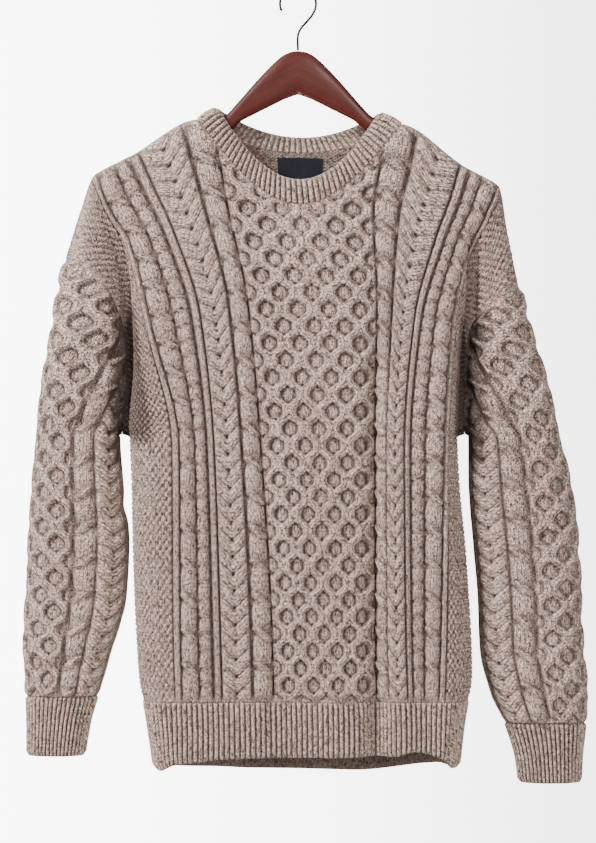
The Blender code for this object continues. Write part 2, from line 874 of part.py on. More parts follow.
def make_panel(name: str, face: int):
    """The front or the back, with its knit raised and a plain inside."""
    sheet = panel_sheet(face)

    def outer_point(spot: Spot):
        point, normal = sheet.at(spot.across, spot.along)
        return parted(face, point + normal * spot.out, spot.across, spot.along)

    def inner_point(spot: Spot):
        point, normal = sheet.at(spot.across, spot.along)
        return parted(face, point - normal * WALL_UNDER, spot.across, spot.along)

    ring = []
    for wale in top_edge_wales(face)[1:-1]:
        spot = Spot(wale, top_course(face, wale), 0.0)
        ring.append((wale, outer_point(spot), inner_point(spot)))
    return wall(name, panel_columns(face), inner_columns(face), outer_point, inner_point, WOOL,
                top_ring=ring)


@lru_cache(maxsize=None)
def hem_sheet(face: int) -> Sheet:
    """The nominal outer surface of a hem band, from its lower edge (0) to the seam (1)."""
    half = np.arange(0, HALF_PANEL + GRID_STEP / 2, GRID_STEP)
    wales = np.concatenate([-half[1:][::-1], half])
    column = "front_rib" if face == FRONT else "back_rib"
    tall = read(HEM_ROWS, "wale", column, wales)
    rows = []
    for share in (0.0, 0.5, 1.0):
        course = -(1 - share) * HEM_RIB
        left = panel_row(face, LEFT, course, -half[1:][::-1])
        row = np.concatenate([left, panel_row(face, RIGHT, course, half)])
        row[:, 2] += (1 - share) * (HEM_RIB - tall) - share * HEM_GAP
        rows.append(row)
    sheet = Sheet(wales, np.array([0.0, 0.5, 1.0]), np.array(rows))
    if face == BACK:
        sheet.turn_over()
    sheet.normals[:, :, 2] = 0.0
    sheet.normals[:, (0, -1), 1] = 0.0
    sheet.normals /= np.linalg.norm(sheet.normals, axis=2, keepdims=True)
    return sheet


def rib_places(line, count: int, places):
    """Places of rib tops and grooves, evenly spaced along a line of points."""
    lengths = running_lengths(line)
    return np.interp(np.linspace(0, lengths[-1], 2 * count + 1), lengths, places)


def make_hem(name: str, face: int):
    """A hem band: upright ribs outside, plain inside."""
    sheet = hem_sheet(face)
    places = rib_places(sheet.points[-1], HEM_RIBS, sheet.across)
    outer = []
    for k, place in enumerate(places):
        out = RIB_RAISED if k % 2 else RIB_SUNK
        if k in (0, len(places) - 1):
            out = 0.0
        outer.append([Spot(place, share, out) for share in (0.0, 1.0)])
    inner = [[Spot(place, share, 0.0) for share in (0.0, 1.0)] for place in places[::HEM_INNER_STEP]]

    def outer_point(spot: Spot):
        point, normal = sheet.at(spot.across, spot.along)
        placed = point + normal * spot.out
        placed[1] = face * SEAM_GAP / 2 if abs(spot.across) >= HALF_PANEL else placed[1]
        return placed

    def inner_point(spot: Spot):
        point, normal = sheet.at(spot.across, spot.along)
        placed = point - normal * WALL_UNDER
        placed[1] = face * SEAM_GAP / 2 if abs(spot.across) >= HALF_PANEL else placed[1]
        return placed

    return wall(name, outer, inner, outer_point, inner_point, WOOL)


def arm_section(face: int, side: int, level: float):
    """Half of a sleeve's section at a level: points from its outer line to its inner end."""
    word = name_of(side)
    outer = float(read(ARM_LEVELS, "level", "outer_" + word, level))
    share = (1 - np.cos(np.linspace(0, math.pi, ROW_SAMPLES))) / 2
    if level >= UNDERARM_LEVEL:
        xs_line, zs_line = OUTLINES[side]
        outer = float(np.interp(-level, -zs_line, xs_line))
        inner = float(read(ARMHOLE_LEVELS, "level", "seam_" + word, level))
        place = outer + (inner - outer) * share
        depth = yoke_depth(face, side, place, np.full(ROW_SAMPLES, level))
    else:
        inner = float(read(ARM_LEVELS, "level", "inner_" + word, level))
        place = outer + (inner - outer) * share
        arm = float(read(ARM_LEVELS, "level", "depth", level))
        turn = min(ARM_TURN, abs(outer - inner) / 2)
        depth = arm * turned(np.abs(outer - place) / turn) * turned(np.abs(place - inner) / turn)
    depth[0] = 0.0
    return np.stack([place, face * depth, np.full(ROW_SAMPLES, level)], axis=1)


def armhole_line(face: int, side: int) -> list:
    """The armhole seam of one face from the shoulder to the underarm: places and points."""
    steps = int(SHOULDER_COURSE / STITCH_ROW)
    courses = [SHOULDER_COURSE] + [step * STITCH_ROW for step in range(steps, 0, -1)]
    courses = [c for c in courses if c > UNDERARM_COURSE + SLOT_CLEAR
               and (c == SHOULDER_COURSE or c <= SHOULDER_COURSE - TOP_CLEAR)]
    sheet = panel_sheet(face)
    return [sheet.at(side * HALF_PANEL, course) for course in courses]


def sleeve_ring(side: int) -> list:
    """The sleeve's upper edge, once round: share of the way, outer point and inner point."""
    away = np.array([side * ARMHOLE_GAP_OUT, 0.0, -ARMHOLE_GAP_DOWN])
    rows = {}
    for face in FACES:
        line = armhole_line(face, side)
        points = [point + away for point, _ in line]
        lengths = running_lengths(np.array(points))
        whole = lengths[-1] + UNDERARM_REACH
        rows[face] = [(face * length / whole, point, point - normal * WALL_UNDER)
                      for length, point, (_, normal) in zip(lengths, points, line)]
    edge = float(read(BODY_LEVELS, "level", "body_" + name_of(side), UNDERARM_LEVEL))
    low = np.array([edge + side * UNDERARM_CLEAR, 0.0, UNDERARM_LEVEL + UNDERARM_RISE])
    under = (-1.0, low, low + np.array([side * UNDERARM_TUCK, 0.0, WALL_UNDER]))
    front = rows[FRONT][1:][::-1]
    top_front, top_back = rows[FRONT][0], rows[BACK][0]
    top = (0.0, (top_front[1] + top_back[1]) / 2, (top_front[2] + top_back[2]) / 2)
    return [under] + front + [top] + rows[BACK][1:]


@lru_cache(maxsize=None)
def sleeve_sheet(side: int) -> Sheet:
    """The sleeve's nominal outer surface: share round it, and drop below its upper edge."""
    ring = sleeve_ring(side)
    cuff_level = CUFF_SEAM_LEFT if side == LEFT else CUFF_SEAM_RIGHT
    shares = np.linspace(-1, 1, 2 * SLEEVE_GRID + 1)
    ring_shares = np.array([row[0] for row in ring] + [1.0])
    ring_levels = np.array([row[1][2] for row in ring] + [ring[0][1][2]])
    top_levels = np.interp(shares, ring_shares, ring_levels)
    downs = np.linspace(0, 1, SLEEVE_GRID_ROWS)
    points = np.zeros((len(downs), len(shares), 3))
    for j, down in enumerate(downs):
        for i, share in enumerate(shares):
            face = FRONT if share <= 0 else BACK
            level = top_levels[i] + (cuff_level - top_levels[i]) * down
            own_ring = [(abs(row[0]), row[1][2]) for row in ring if row[0] * face >= 0]
            own_ring = sorted(own_ring + [(1.0, ring_levels[0])])
            reach = np.interp(-level, [-row[1] for row in own_ring], [row[0] for row in own_ring])
            lengths, line = section_line(face, side, round(float(level), 1))
            asked = lengths[-1] * min(abs(share) / max(reach, 1e-6), 1.0)
            points[j, i] = [np.interp(asked, lengths, line[:, axis]) for axis in range(3)]
            points[j, i, 2] = level
    points[:, 0] = points[:, -1]
    sheet = Sheet(shares, downs, points)
    wrap = sheet.normals[:, 0] + sheet.normals[:, -1]
    sheet.normals[:, 0] = sheet.normals[:, -1] = wrap
    sheet.normals[-1, :, 2] = 0.0
    sheet.normals /= np.maximum(np.linalg.norm(sheet.normals, axis=2, keepdims=True), 1e-9)
    middle = sheet.points.mean(axis=1, keepdims=True)
    if float((sheet.normals[-1] * (sheet.points[-1] - middle[-1])).sum()) < 0:
        sheet.turn_over()
    return sheet


@lru_cache(maxsize=None)
def section_line(face: int, side: int, level: float):
    """A sleeve half section with its running length."""
    line = arm_section(face, side, level)
    return running_lengths(line), line


def sleeve_columns(side: int) -> list:
    """The sleeve's outer columns, once round from the underarm."""
    sheet = sleeve_sheet(side)
    cuff_level = float(sheet.points[-1, 0, 2])
    half = list(enumerate(SLEEVE_CABLES))
    signed = [(-1.0, "gutter", len(half))]
    signed += [(-cable.share, cable.form, i) for i, cable in half if i][::-1]
    signed += [(cable.share, cable.form, i) for i, cable in half]
    columns = []
    for share, form, index in signed:
        top_level = float(sheet.at(share, 0.0)[0][2])
        length = top_level - cuff_level
        shift = STITCH_ROW / 2 if index % 2 else 0.0
        spots = [Spot(share, 1.0, 0.0)]
        step = 1
        while step * STITCH_ROW + shift < length - SLEEVE_TOP_CLEAR:
            up = step * STITCH_ROW + shift
            out = relief(form, step, index) * float(eased((length - up) / CALM_ABOVE))
            spots.append(Spot(share, 1 - up / length, out))
            step += 1
        columns.append(spots)
    return columns


def make_sleeve(name: str, side: int):
    """A sleeve: a tube from the armhole seam to the cuff seam."""
    sheet = sleeve_sheet(side)
    outer = sleeve_columns(side)
    inner = []
    for share in SLEEVE_INNER_SHARES:
        spots = [Spot(share, down, 0.0) for down in SLEEVE_INNER_DOWNS]
        inner.append(spots)

    def outer_point(spot: Spot):
        point, normal = sheet.at(spot.across, spot.along)
        return point + normal * spot.out

    def inner_point(spot: Spot):
        point, normal = sheet.at(spot.across, spot.along)
        placed = point - normal * WALL_UNDER
        if 0 < abs(spot.across) < 1:
            face = FRONT if spot.across < 0 else BACK
            placed[1] = face * max(face * placed[1], SEAM_GAP / 2)
        return placed

    def risen(columns: list) -> list:
        return [[Spot(s.across, 1 - s.along, s.out) for s in spots] for spots in columns]

    return wall(name, risen(outer), risen(inner),
                lambda spot: outer_point(Spot(spot.across, 1 - spot.along, spot.out)),
                lambda spot: inner_point(Spot(spot.across, 1 - spot.along, spot.out)),
                WOOL, turn=2.0, top_ring=sleeve_ring(side))


def make_cuff(name: str, side: int):
    """A cuff: a ribbed tube below its sleeve."""
    top_level = (CUFF_SEAM_LEFT if side == LEFT else CUFF_SEAM_RIGHT) - SEAM_GAP
    rows = []
    for level in (top_level - CUFF_RIB, top_level):
        front = arm_section(FRONT, side, level)
        back = arm_section(BACK, side, level)
        rows.append(np.concatenate([front[::-1], back[1:]]))
    shares = np.linspace(0, 1, 4 * CUFF_RIBS + 1)
    points = []
    for row in rows:
        lengths = running_lengths(row)
        spread = [np.interp(shares * lengths[-1], lengths, row[:, axis]) for axis in range(3)]
        points.append(np.stack(spread, axis=1))
    points = np.array(points)
    sheet = Sheet(shares, np.array([0.0, 1.0]), points)
    sheet.normals[:, :, 2] = 0.0
    sheet.normals[:, 0] = sheet.normals[:, -1] = sheet.normals[:, 0] + sheet.normals[:, -1]
    sheet.normals /= np.linalg.norm(sheet.normals, axis=2, keepdims=True)
    middle = points.mean(axis=1, keepdims=True)
    if float((sheet.normals * (points - middle)).sum()) < 0:
        sheet.turn_over()
    outer = [[Spot(k / (2 * CUFF_RIBS), up, RIB_RAISED if k % 2 else RIB_SUNK) for up in (0.0, 1.0)]
             for k in range(2 * CUFF_RIBS)]
    inner = [[Spot(k / CUFF_INNER, up, 0.0) for up in (0.0, 1.0)] for k in range(CUFF_INNER)]

    def outer_point(spot: Spot):
        point, normal = sheet.at(spot.across, spot.along)
        return point + normal * spot.out

    def inner_point(spot: Spot):
        point, normal = sheet.at(spot.across, spot.along)
        return point - normal * RIB_UNDER

    return wall(name, outer, inner, outer_point, inner_point, WOOL, turn=1.0)


def neck_line(face: int) -> tuple:
    """The panel's neck edge as its columns cut it: wales, outer points and normals."""
    wales = [wale for wale in top_edge_wales(face) if abs(wale) <= NECK_WALE]
    sheet = panel_sheet(face)
    cuts = [sheet.at(wale, neck_course(face, wale)) for wale in wales]
    points = np.array([cut[0] for cut in cuts])
    points[[0, -1], 1] = 0.0
    normals = np.array([cut[1] for cut in cuts])
    normals[[0, -1], 1] = 0.0
    normals /= np.linalg.norm(normals, axis=1, keepdims=True)
    return np.array(wales), points, normals


NECK_LINES = {}


def band_place(angle: float) -> tuple:
    """The neckband's outer seam, upper edge and inner seam points at an angle round it."""
    face = FRONT if math.cos(angle) >= 0 else BACK
    if face not in NECK_LINES:
        NECK_LINES[face] = neck_line(face)
    wales, points, normals = NECK_LINES[face]
    wale = NECK_WALE * math.sin(angle)
    seam = np.array([np.interp(wale, wales, points[:, axis]) for axis in range(3)])
    normal = np.array([np.interp(wale, wales, normals[:, axis]) for axis in range(3)])
    fall = BAND_FRONT_FALL if face == FRONT else BAND_BACK_FALL
    right_drop = BAND_RIGHT_DROP * (1 + math.sin(angle)) / 2
    depth = BAND_DEPTH * abs(math.cos(angle)) ** BAND_ROUND
    upper = np.array([BAND_HALF_WIDTH * math.sin(angle), face * depth,
                      BAND_PEAK_LEVEL - fall * math.cos(angle) ** 2 - right_drop])
    rise = (upper - seam) / np.linalg.norm(upper - seam)
    inner = seam - normal * WALL_UNDER + rise * BAND_GAP
    return seam + rise * BAND_GAP, upper, inner


def make_neckband(name: str):
    """The neckband: one ribbed ring sewn to both panels' neck edges."""
    fine = np.linspace(-math.pi, math.pi, BAND_SAMPLES)
    middles = np.array([(band_place(angle)[0] + band_place(angle)[1]) / 2 for angle in fine])
    places = rib_places(middles, BAND_RIBS, fine)[:-1]

    def surface(angle: float, up: float):
        seam, upper, _ = band_place(angle)
        return seam + (upper - seam) * up

    def outward(angle: float, up: float):
        around = surface(angle + BAND_TURN_STEP, up) - surface(angle - BAND_TURN_STEP, up)
        normal = np.cross(around, surface(angle, 1.0) - surface(angle, 0.0))
        return normal / np.linalg.norm(normal)

    def outer_point(spot: Spot):
        if spot.along == 0.0:
            return band_place(spot.across)[0]
        roll = BAND_ROLL * math.sin(math.pi * spot.along)
        return surface(spot.across, spot.along) + outward(spot.across, spot.along) * (spot.out + roll)

    def inner_point(spot: Spot):
        if spot.along == 0.0:
            return band_place(spot.across)[2]
        roll = BAND_ROLL * math.sin(math.pi * spot.along)
        return surface(spot.across, spot.along) - outward(spot.across, spot.along) * (BAND_UNDER - roll)

    outer = [[Spot(place, up, RIB_RAISED if k % 2 else RIB_SUNK) for up in (0.0, 0.5, 1.0)]
             for k, place in enumerate(places)]
    corners = []
    for face, base in ((FRONT, 0.0), (BACK, math.pi)):
        for wale in neck_line(face)[0]:
            angle = math.asin(max(-1.0, min(1.0, wale / NECK_WALE)))
            corners.append(angle if face == FRONT else base - angle)
    inner_angles = sorted({round((angle + math.pi) % (2 * math.pi) - math.pi, 6) for angle in corners})
    inner = [[Spot(angle, up, 0.0) for up in (0.0, 0.5, 1.0)] for angle in inner_angles]
    return wall(name, outer, inner, outer_point, inner_point, WOOL, turn=2 * math.pi)


def make_label(name: str, left: float, right: float, low: float, high: float, finish: Finish):
    """A thin woven label that lies on the inside of the back."""
    sheet = panel_sheet(BACK)
    near, far = WALL_UNDER + LABEL_GAP, WALL_UNDER + LABEL_GAP + LABEL_THICK

    def columns() -> list:
        wales = np.linspace(left, right, LABEL_STEPS)
        courses = (low, (low + high) / 2, high)
        return [[Spot(wale, course, 0.0) for course in courses] for wale in wales]

    def near_point(spot: Spot):
        point, normal = sheet.at(spot.across, spot.along)
        return point - normal * near

    def far_point(spot: Spot):
        point, normal = sheet.at(spot.across, spot.along)
        return point - normal * far

    return wall(name, columns(), columns(), far_point, near_point, finish)


def rest_level(side: int, place: float) -> float:
    """The level of the cloth's inside along the shoulder seam."""
    sheet = panel_sheet(FRONT)
    wales = [wale for wale in top_edge_wales(FRONT) if wale >= NECK_WALE]
    cuts = [sheet.at(side * wale, SHOULDER_COURSE) for wale in wales]
    points = [point - normal * WALL_UNDER for point, normal in cuts]
    return float(np.interp(place, [abs(point[0]) for point in points], [point[2] for point in points]))


def make_hanger_body(name: str):
    """The wooden hanger: two arms that fall from the middle, one closed solid."""
    rows = []
    for side in SIDES:
        own_rows = [row for row in HANGER_ROWS if row.place or side == RIGHT]
        arm = [(side * row.place, row.top, row.underside) for row in own_rows]
        for place, height in zip(HANGER_REST_PLACES, HANGER_ARM_HEIGHT):
            top = rest_level(side, place) - HANGER_REST_GAP
            arm.append((side * place, top, top - height))
        rows += arm
    rows.sort()
    mesh = Mesh()
    rings = []
    for place, top, under in rows:
        half = (WOOD_CROWN_HALF, WOOD_HALF, WOOD_HALF, WOOD_FOOT_HALF)
        heights = (top, top - WOOD_CROWN, under + WOOD_FOOT, under)
        right = [mesh.add((place, y, z)) for y, z in zip(half, heights)]
        left = [mesh.add((place, -y, z)) for y, z in zip(half[::-1], heights[::-1])]
        rings.append(right + left)
    count = len(rings[0])
    for first, second in zip(rings, rings[1:]):
        for k in range(count):
            other = (k + 1) % count
            mesh.faces.append((first[k], first[other], second[other]))
            mesh.faces.append((first[k], second[other], second[k]))
    mesh.faces.append(tuple(rings[0][::-1]))
    mesh.faces.append(tuple(rings[-1]))
    return build(name, mesh, WOOD)


def hook_path() -> list:
    """The wire's middle line, from the wood up and over the loop."""
    path = [(row.across, 0.0, row.level) for row in HOOK_STEM]
    middle = -HOOK_RADIUS
    radius = HOOK_RADIUS + WIRE_RADIUS
    for k in range(HOOK_STEPS + 1):
        angle = math.radians(HOOK_START + (HOOK_END - HOOK_START) * k / HOOK_STEPS)
        path.append((radius * math.cos(angle), 0.0, middle + radius * math.sin(angle)))
    return path


def make_hook(name: str):
    """The wire hook, a bent rod with a blunt end."""
    path = np.array(hook_path())
    mesh = Mesh()
    rings = []
    for k, point in enumerate(path):
        ahead = path[min(k + 1, len(path) - 1)] - path[max(k - 1, 0)]
        ahead = ahead / np.linalg.norm(ahead)
        across = np.array([0.0, 1.0, 0.0])
        up = np.cross(ahead, across)
        ring = []
        for j in range(WIRE_SIDES):
            turn = 2 * math.pi * j / WIRE_SIDES
            offset = math.cos(turn) * across + math.sin(turn) * up
            ring.append(mesh.add(point + WIRE_RADIUS * offset))
        rings.append(ring)
    for first, second in zip(rings, rings[1:]):
        for k in range(WIRE_SIDES):
            other = (k + 1) % WIRE_SIDES
            mesh.faces.append((first[k], first[other], second[other]))
            mesh.faces.append((first[k], second[other], second[k]))
    mesh.faces.append(tuple(rings[0][::-1]))
    mesh.faces.append(tuple(rings[-1]))
    return build(name, mesh, WIRE)


def clear_scene() -> None:
    """Removes what the file opens with."""
    for item in list(bpy.data.objects):
        bpy.data.objects.remove(item)


def main() -> None:
    """Builds the sweater and its hanger."""
    clear_scene()
    make_panel("front", FRONT)
    make_panel("back", BACK)
    make_hem("hem_front", FRONT)
    make_hem("hem_back", BACK)
    make_sleeve("sleeve_left", LEFT)
    make_sleeve("sleeve_right", RIGHT)
    make_cuff("cuff_left", LEFT)
    make_cuff("cuff_right", RIGHT)
    make_neckband("neckband")
    make_label("neck_label", LABEL_LEFT, LABEL_RIGHT, LABEL_LOW, LABEL_HIGH, LABEL)
    make_label("size_tab", TAB_LEFT, TAB_RIGHT, TAB_LOW, TAB_HIGH, TAB)
    make_hanger_body("hanger_body")
    make_hook("hanger_hook")


main()
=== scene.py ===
"""Looks of the cable sweater on its wooden hanger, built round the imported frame.

Lengths are in millimetres until a mesh is made. +Z is up, the front faces -Y, and the
origin is the inside top of the hook. A course is a height on a panel, counted from the hem
seam. A wale is a place across a panel, counted from its middle, negative towards -X. The
cloth follows the same outline, section and armhole tables as the solids that it replaces,
and the knit is raised on it stitch column by stitch column.
"""
import json
import logging
import math
from dataclasses import dataclass
from enum import Enum
from functools import lru_cache
from typing import NamedTuple

import bpy
import numpy as np
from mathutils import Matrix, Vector
from mathutils.bvhtree import BVHTree

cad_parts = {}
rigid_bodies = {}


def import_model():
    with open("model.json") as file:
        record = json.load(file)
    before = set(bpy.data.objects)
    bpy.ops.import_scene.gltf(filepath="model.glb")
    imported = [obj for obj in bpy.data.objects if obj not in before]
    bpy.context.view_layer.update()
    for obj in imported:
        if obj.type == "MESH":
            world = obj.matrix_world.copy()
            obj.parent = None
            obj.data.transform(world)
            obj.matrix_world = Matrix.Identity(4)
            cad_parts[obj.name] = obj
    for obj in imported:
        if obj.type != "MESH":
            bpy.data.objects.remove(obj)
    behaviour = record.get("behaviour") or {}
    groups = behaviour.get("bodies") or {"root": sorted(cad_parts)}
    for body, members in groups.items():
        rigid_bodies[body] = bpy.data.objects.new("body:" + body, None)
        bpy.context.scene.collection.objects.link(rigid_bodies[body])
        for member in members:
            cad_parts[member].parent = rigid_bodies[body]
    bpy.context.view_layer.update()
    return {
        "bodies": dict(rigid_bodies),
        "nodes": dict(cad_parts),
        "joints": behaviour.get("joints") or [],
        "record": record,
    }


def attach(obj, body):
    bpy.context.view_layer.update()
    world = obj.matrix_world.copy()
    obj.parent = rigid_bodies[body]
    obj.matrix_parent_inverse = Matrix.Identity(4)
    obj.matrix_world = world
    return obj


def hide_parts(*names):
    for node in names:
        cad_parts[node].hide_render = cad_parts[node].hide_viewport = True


LOG = logging.getLogger("sweater")

Array = np.ndarray
Object = bpy.types.Object
Material = bpy.types.Material
Socket = bpy.types.NodeSocket

MM = 0.001
LEFT = -1
RIGHT = 1
FRONT = -1
BACK = 1
SIDES = (LEFT, RIGHT)
FACES = (FRONT, BACK)

# The cloth's wall
WALL_UNDER = 4.5

# The cut of the panels
HALF_PANEL = 300.0
FACE_WALE = 194.0
HEM_LEVEL = -768.0
SHOULDER_COURSE = 626.0
UNDERARM_COURSE = 284.0
UNDERARM_LEVEL = HEM_LEVEL + UNDERARM_COURSE
NECK_WALE = 82.0
FRONT_NECK_DEPTH = 94.0
BACK_NECK_DEPTH = 36.0
BACK_HEM_SAG = 22.0
HEM_RIB = 60.0
CUFF_SEAMS = {LEFT: -764.0, RIGHT: -793.0}
LOWEST_LEVEL = -870.0

# Round edges: how far each turns in, and how square it is
ROUND_POWER = 2.2
SHOULDER_TURN = 26.0
BODY_TURN = 28.0
ARM_TURN = 34.0
VALLEY_FLOOR = 14.0
SLOT_ROUND = 10.0
SLOT_CLEAR = 16.0

# How finely the smooth surfaces are sampled
GRID_STEP = 2.5
ROW_SAMPLES = 120
SHOULDER_SAMPLES = 50
ARM_SAMPLES = 60
SHOULDER_SKIP = 6.0
KNOT_SOFT = 9.0
HEM_LEVELS = 9
SLEEVE_GRID = 70
SLEEVE_GRID_ROWS = 130
ARMHOLE_STEPS = 90
NECK_STEPS = 81

# The armhole seam's gap, and the point where it closes under the arm
ARMHOLE_GAP_OUT = 0.45
ARMHOLE_GAP_DOWN = 0.6
SEAM_CLOSE = 0.4
UNDERARM_CLEAR = 9.0
UNDERARM_RISE = 3.0
UNDERARM_REACH = 20.0

# Gaps between pieces, and how the knit fades at seams and edges
PART_GAP = 0.1
SEAM_SOFT = 6.0
SEAM_LEFT = 0.25
EDGE_TUCK = 2.4
EDGE_ROUND = 5.0
EDGE_LEFT = 0.35
EDGE_UNDER = 0.5

# How a band's ribs are cut into cells
RIB_CELLS = 7
RIB_ROW = 1.1
RIB_WIDTH = 6
RIB_INNER_STEP = 6

# Painted shade: darker colour in the hollows of the knit, inside the garment, and where cloth is tucked
# beside the arm
CAVITY_REACH = 3.6
CAVITY_MOST = 6
INSIDE_SHADE = 1.7
INSIDE_RIB_SHADE = 0.5
TUCK_SHADE = 3.0
TUCK_SOFT = 26.0

# The finest grid of the panels
FINE = 2.05

# The record's names
BODY = "root"

# The smallest length that a vector is divided by
LEAST = 1e-9


class PanelRow(NamedTuple):
    """Where the main wales of the front lie, at one course."""
    course: float
    middle: float
    cells_left: float
    cells_right: float
    line_left: float
    line_right: float
    face_left: float
    face_right: float


PANEL_ROWS = (
    PanelRow(-30, 31, -20, 82, -84, 120, -124, 150),
    PanelRow(84, 28, -23, 80, -87, 116, -127, 154),
    PanelRow(268, 23, -35, 80, -93, 114, -128, 158),
    PanelRow(430, 16, -50, 81, -108, 127, -160, 166),
    PanelRow(532, 2, -71, 75, -139, 154, -182, 184),
    PanelRow(580, 1, -78, 82, -160, 170, -205, 202),
    PanelRow(626, 0, -84, 88, -180, 182, -220, 217),
)
CELLS_WALE = 62.0
LINE_WALE = 141.0


class ShoulderRow(NamedTuple):
    """How far the shoulder seam lies below the neck corner, and where it ends up."""
    wale: float
    drop_left: float
    drop_right: float
    ridge_left: float
    ridge_right: float


SHOULDER_ROWS = (
    ShoulderRow(0, 0, 0, 0, 0),
    ShoulderRow(82, 1, 6, -108, 110),
    ShoulderRow(141, 39, 52, -180, 182),
    ShoulderRow(194, 61, 73, -220, 217),
    ShoulderRow(245, 97, 122, -234, 226),
    ShoulderRow(300, 151, 181, -251, 238),
)


class LevelRow(NamedTuple):
    """The sweater's outline and depths at one level below the hook."""
    level: float
    body_left: float
    body_right: float
    front_depth: float
    back_depth: float


BODY_LEVELS = (
    LevelRow(-870, -150, 170, 44, 44),
    LevelRow(-843, -153, 172, 46, 45),
    LevelRow(-795, -161, 178, 49, 46),
    LevelRow(-740, -171, 187, 50, 46),
    LevelRow(-618, -177, 181, 50, 44),
    LevelRow(-530, -179, 173, 50, 42),
    LevelRow(-478, -181, 171, 48, 40),
    LevelRow(-405, -176, 173, 44, 37),
    LevelRow(-325, -179, 180, 36, 32),
    LevelRow(-278, -187, 181, 29, 27),
    LevelRow(-235, -202, 192, 22, 22),
    LevelRow(-190, -222, 210, 18, 18),
    LevelRow(-140, -240, 230, 17, 17),
)


class ArmRow(NamedTuple):
    """A sleeve's outer edge, inner edge and half depth at one level."""
    level: float
    outer_left: float
    inner_left: float
    outer_right: float
    inner_right: float
    depth: float


ARM_LEVELS = (
    ArmRow(-870, -291, -233, 305, 240, 21),
    ArmRow(-835, -292, -231, 306, 236, 21),
    ArmRow(-795, -292, -225, 310, 224, 23),
    ArmRow(-764, -293, -216, 311, 209, 26),
    ArmRow(-715, -294, -201, 306, 197, 29),
    ArmRow(-660, -292, -186, 304, 195, 32),
    ArmRow(-600, -289, -183, 301, 190, 33),
    ArmRow(-530, -284, -190, 291, 185, 34),
    ArmRow(-484, -280, -193, 280, 185, 34),
    ArmRow(-425, -274, -193, 267, 184, 33),
    ArmRow(-380, -266, -190, 253, 183, 32),
    ArmRow(-320, -257, -190, 238, 185, 29),
    ArmRow(-270, -242, -195, 227, 190, 26),
    ArmRow(-230, -232, -200, 222, 195, 22),
    ArmRow(-200, -220, -205, 217, 200, 18),
    ArmRow(-140, -106, -90, 107, 90, 17),
)


class ValleyRow(NamedTuple):
    """How deep the cloth between body and sleeve still stands off the middle."""
    level: float
    stand_off: float


VALLEY_LEVELS = (
    ValleyRow(-484, 9.0),
    ValleyRow(-400, 9.5),
    ValleyRow(-330, 11.0),
    ValleyRow(-290, 14.0),
    ValleyRow(-262, 19.0),
    ValleyRow(-235, 22.0),
    ValleyRow(-140, 22.0),
)


class ArmholeRow(NamedTuple):
    """Where the armhole seam crosses each level."""
    level: float
    seam_left: float
    seam_right: float


ARMHOLE_LEVELS = (
    ArmholeRow(-484, -190, 180),
    ArmholeRow(-466, -188, 178),
    ArmholeRow(-400, -184, 180),
    ArmholeRow(-372, -187, 184),
    ArmholeRow(-340, -197, 210),
    ArmholeRow(-323, -206, 238),
    ArmholeRow(-314, -214, 238),
    ArmholeRow(-298, -233, 238),
    ArmholeRow(-293, -251, 238),
)


class Fold(NamedTuple):
    """One soft trough or ridge down a panel: where it runs, how wide and how deep."""
    face: int
    top_level: float
    top_place: float
    foot_place: float
    half_width: float
    height: float


FOLDS = (
    Fold(FRONT, -350, 81, 83, 11, -14),
    Fold(FRONT, -350, 98, 110, 14, 5),
    Fold(FRONT, -400, -42, -24, 15, -6),
    Fold(FRONT, -690, 46, 40, 20, 5),
    Fold(FRONT, -700, 152, 152, 13, 5),
    Fold(FRONT, -600, -120, -112, 24, 5),
    Fold(BACK, -380, -70, -62, 22, -9),
    Fold(BACK, -400, 58, 66, 22, -9),
    Fold(BACK, -560, 0, 2, 26, 5),
)
FOLD_FADE = 90.0
FOLD_REACH = 1.2


class HemRow(NamedTuple):
    """How tall the hem's rib is at a wale, in front and behind."""
    wale: float
    front_rib: float
    back_rib: float


HEM_ROWS = (
    HemRow(-300, 73, 73),
    HemRow(-250, 75, 70),
    HemRow(-200, 66, 66),
    HemRow(-100, 60, 60),
    HemRow(0, 59, 60),
    HemRow(100, 58, 60),
    HemRow(150, 53, 60),
    HemRow(200, 60, 62),
    HemRow(240, 72, 68),
    HemRow(300, 73, 73),
)


def read(rows: tuple, key: str, column: str, at: Array | float) -> Array:
    """A smooth curve through one column of a table.

    Args:
        rows: The table.
        key: The column that orders the rows.
        column: The column to read.
        at: One key or many.

    Returns:
        The column's values there.
    """
    ordered = sorted(rows, key=lambda row: getattr(row, key))
    places = np.array([getattr(row, key) for row in ordered], float)
    values = np.array([getattr(row, column) for row in ordered], float)
    steps = np.diff(places)
    rises = np.diff(values) / steps
    slopes = np.zeros(len(places))
    slopes[0], slopes[-1] = rises[0], rises[-1]
    for i in range(1, len(places) - 1):
        before, after = rises[i - 1], rises[i]
        if before * after > 0:
            slopes[i] = 2 * before * after / (before + after)
    asked = np.clip(np.asarray(at, float), places[0], places[-1])
    cell = np.clip(np.searchsorted(places, asked, side="right") - 1, 0, len(steps) - 1)
    t = (asked - places[cell]) / steps[cell]
    rise = steps[cell]
    return ((1 + 2 * t) * (1 - t) ** 2 * values[cell] + t * (1 - t) ** 2 * rise * slopes[cell]
            + t * t * (3 - 2 * t) * values[cell + 1] - t * t * (1 - t) * rise * slopes[cell + 1])


def turned(share: Array) -> Array:
    """A round edge."""
    inward = 1 - np.clip(share, 0, 1)
    return (1 - inward ** ROUND_POWER) ** (1 / ROUND_POWER)


def eased(share: Array) -> Array:
    """A step with soft ends."""
    share = np.clip(share, 0, 1)
    return share * share * (3 - 2 * share)


def name_of(side: int) -> str:
    """The word for a side, as the tables' columns spell it."""
    return "left" if side == LEFT else "right"


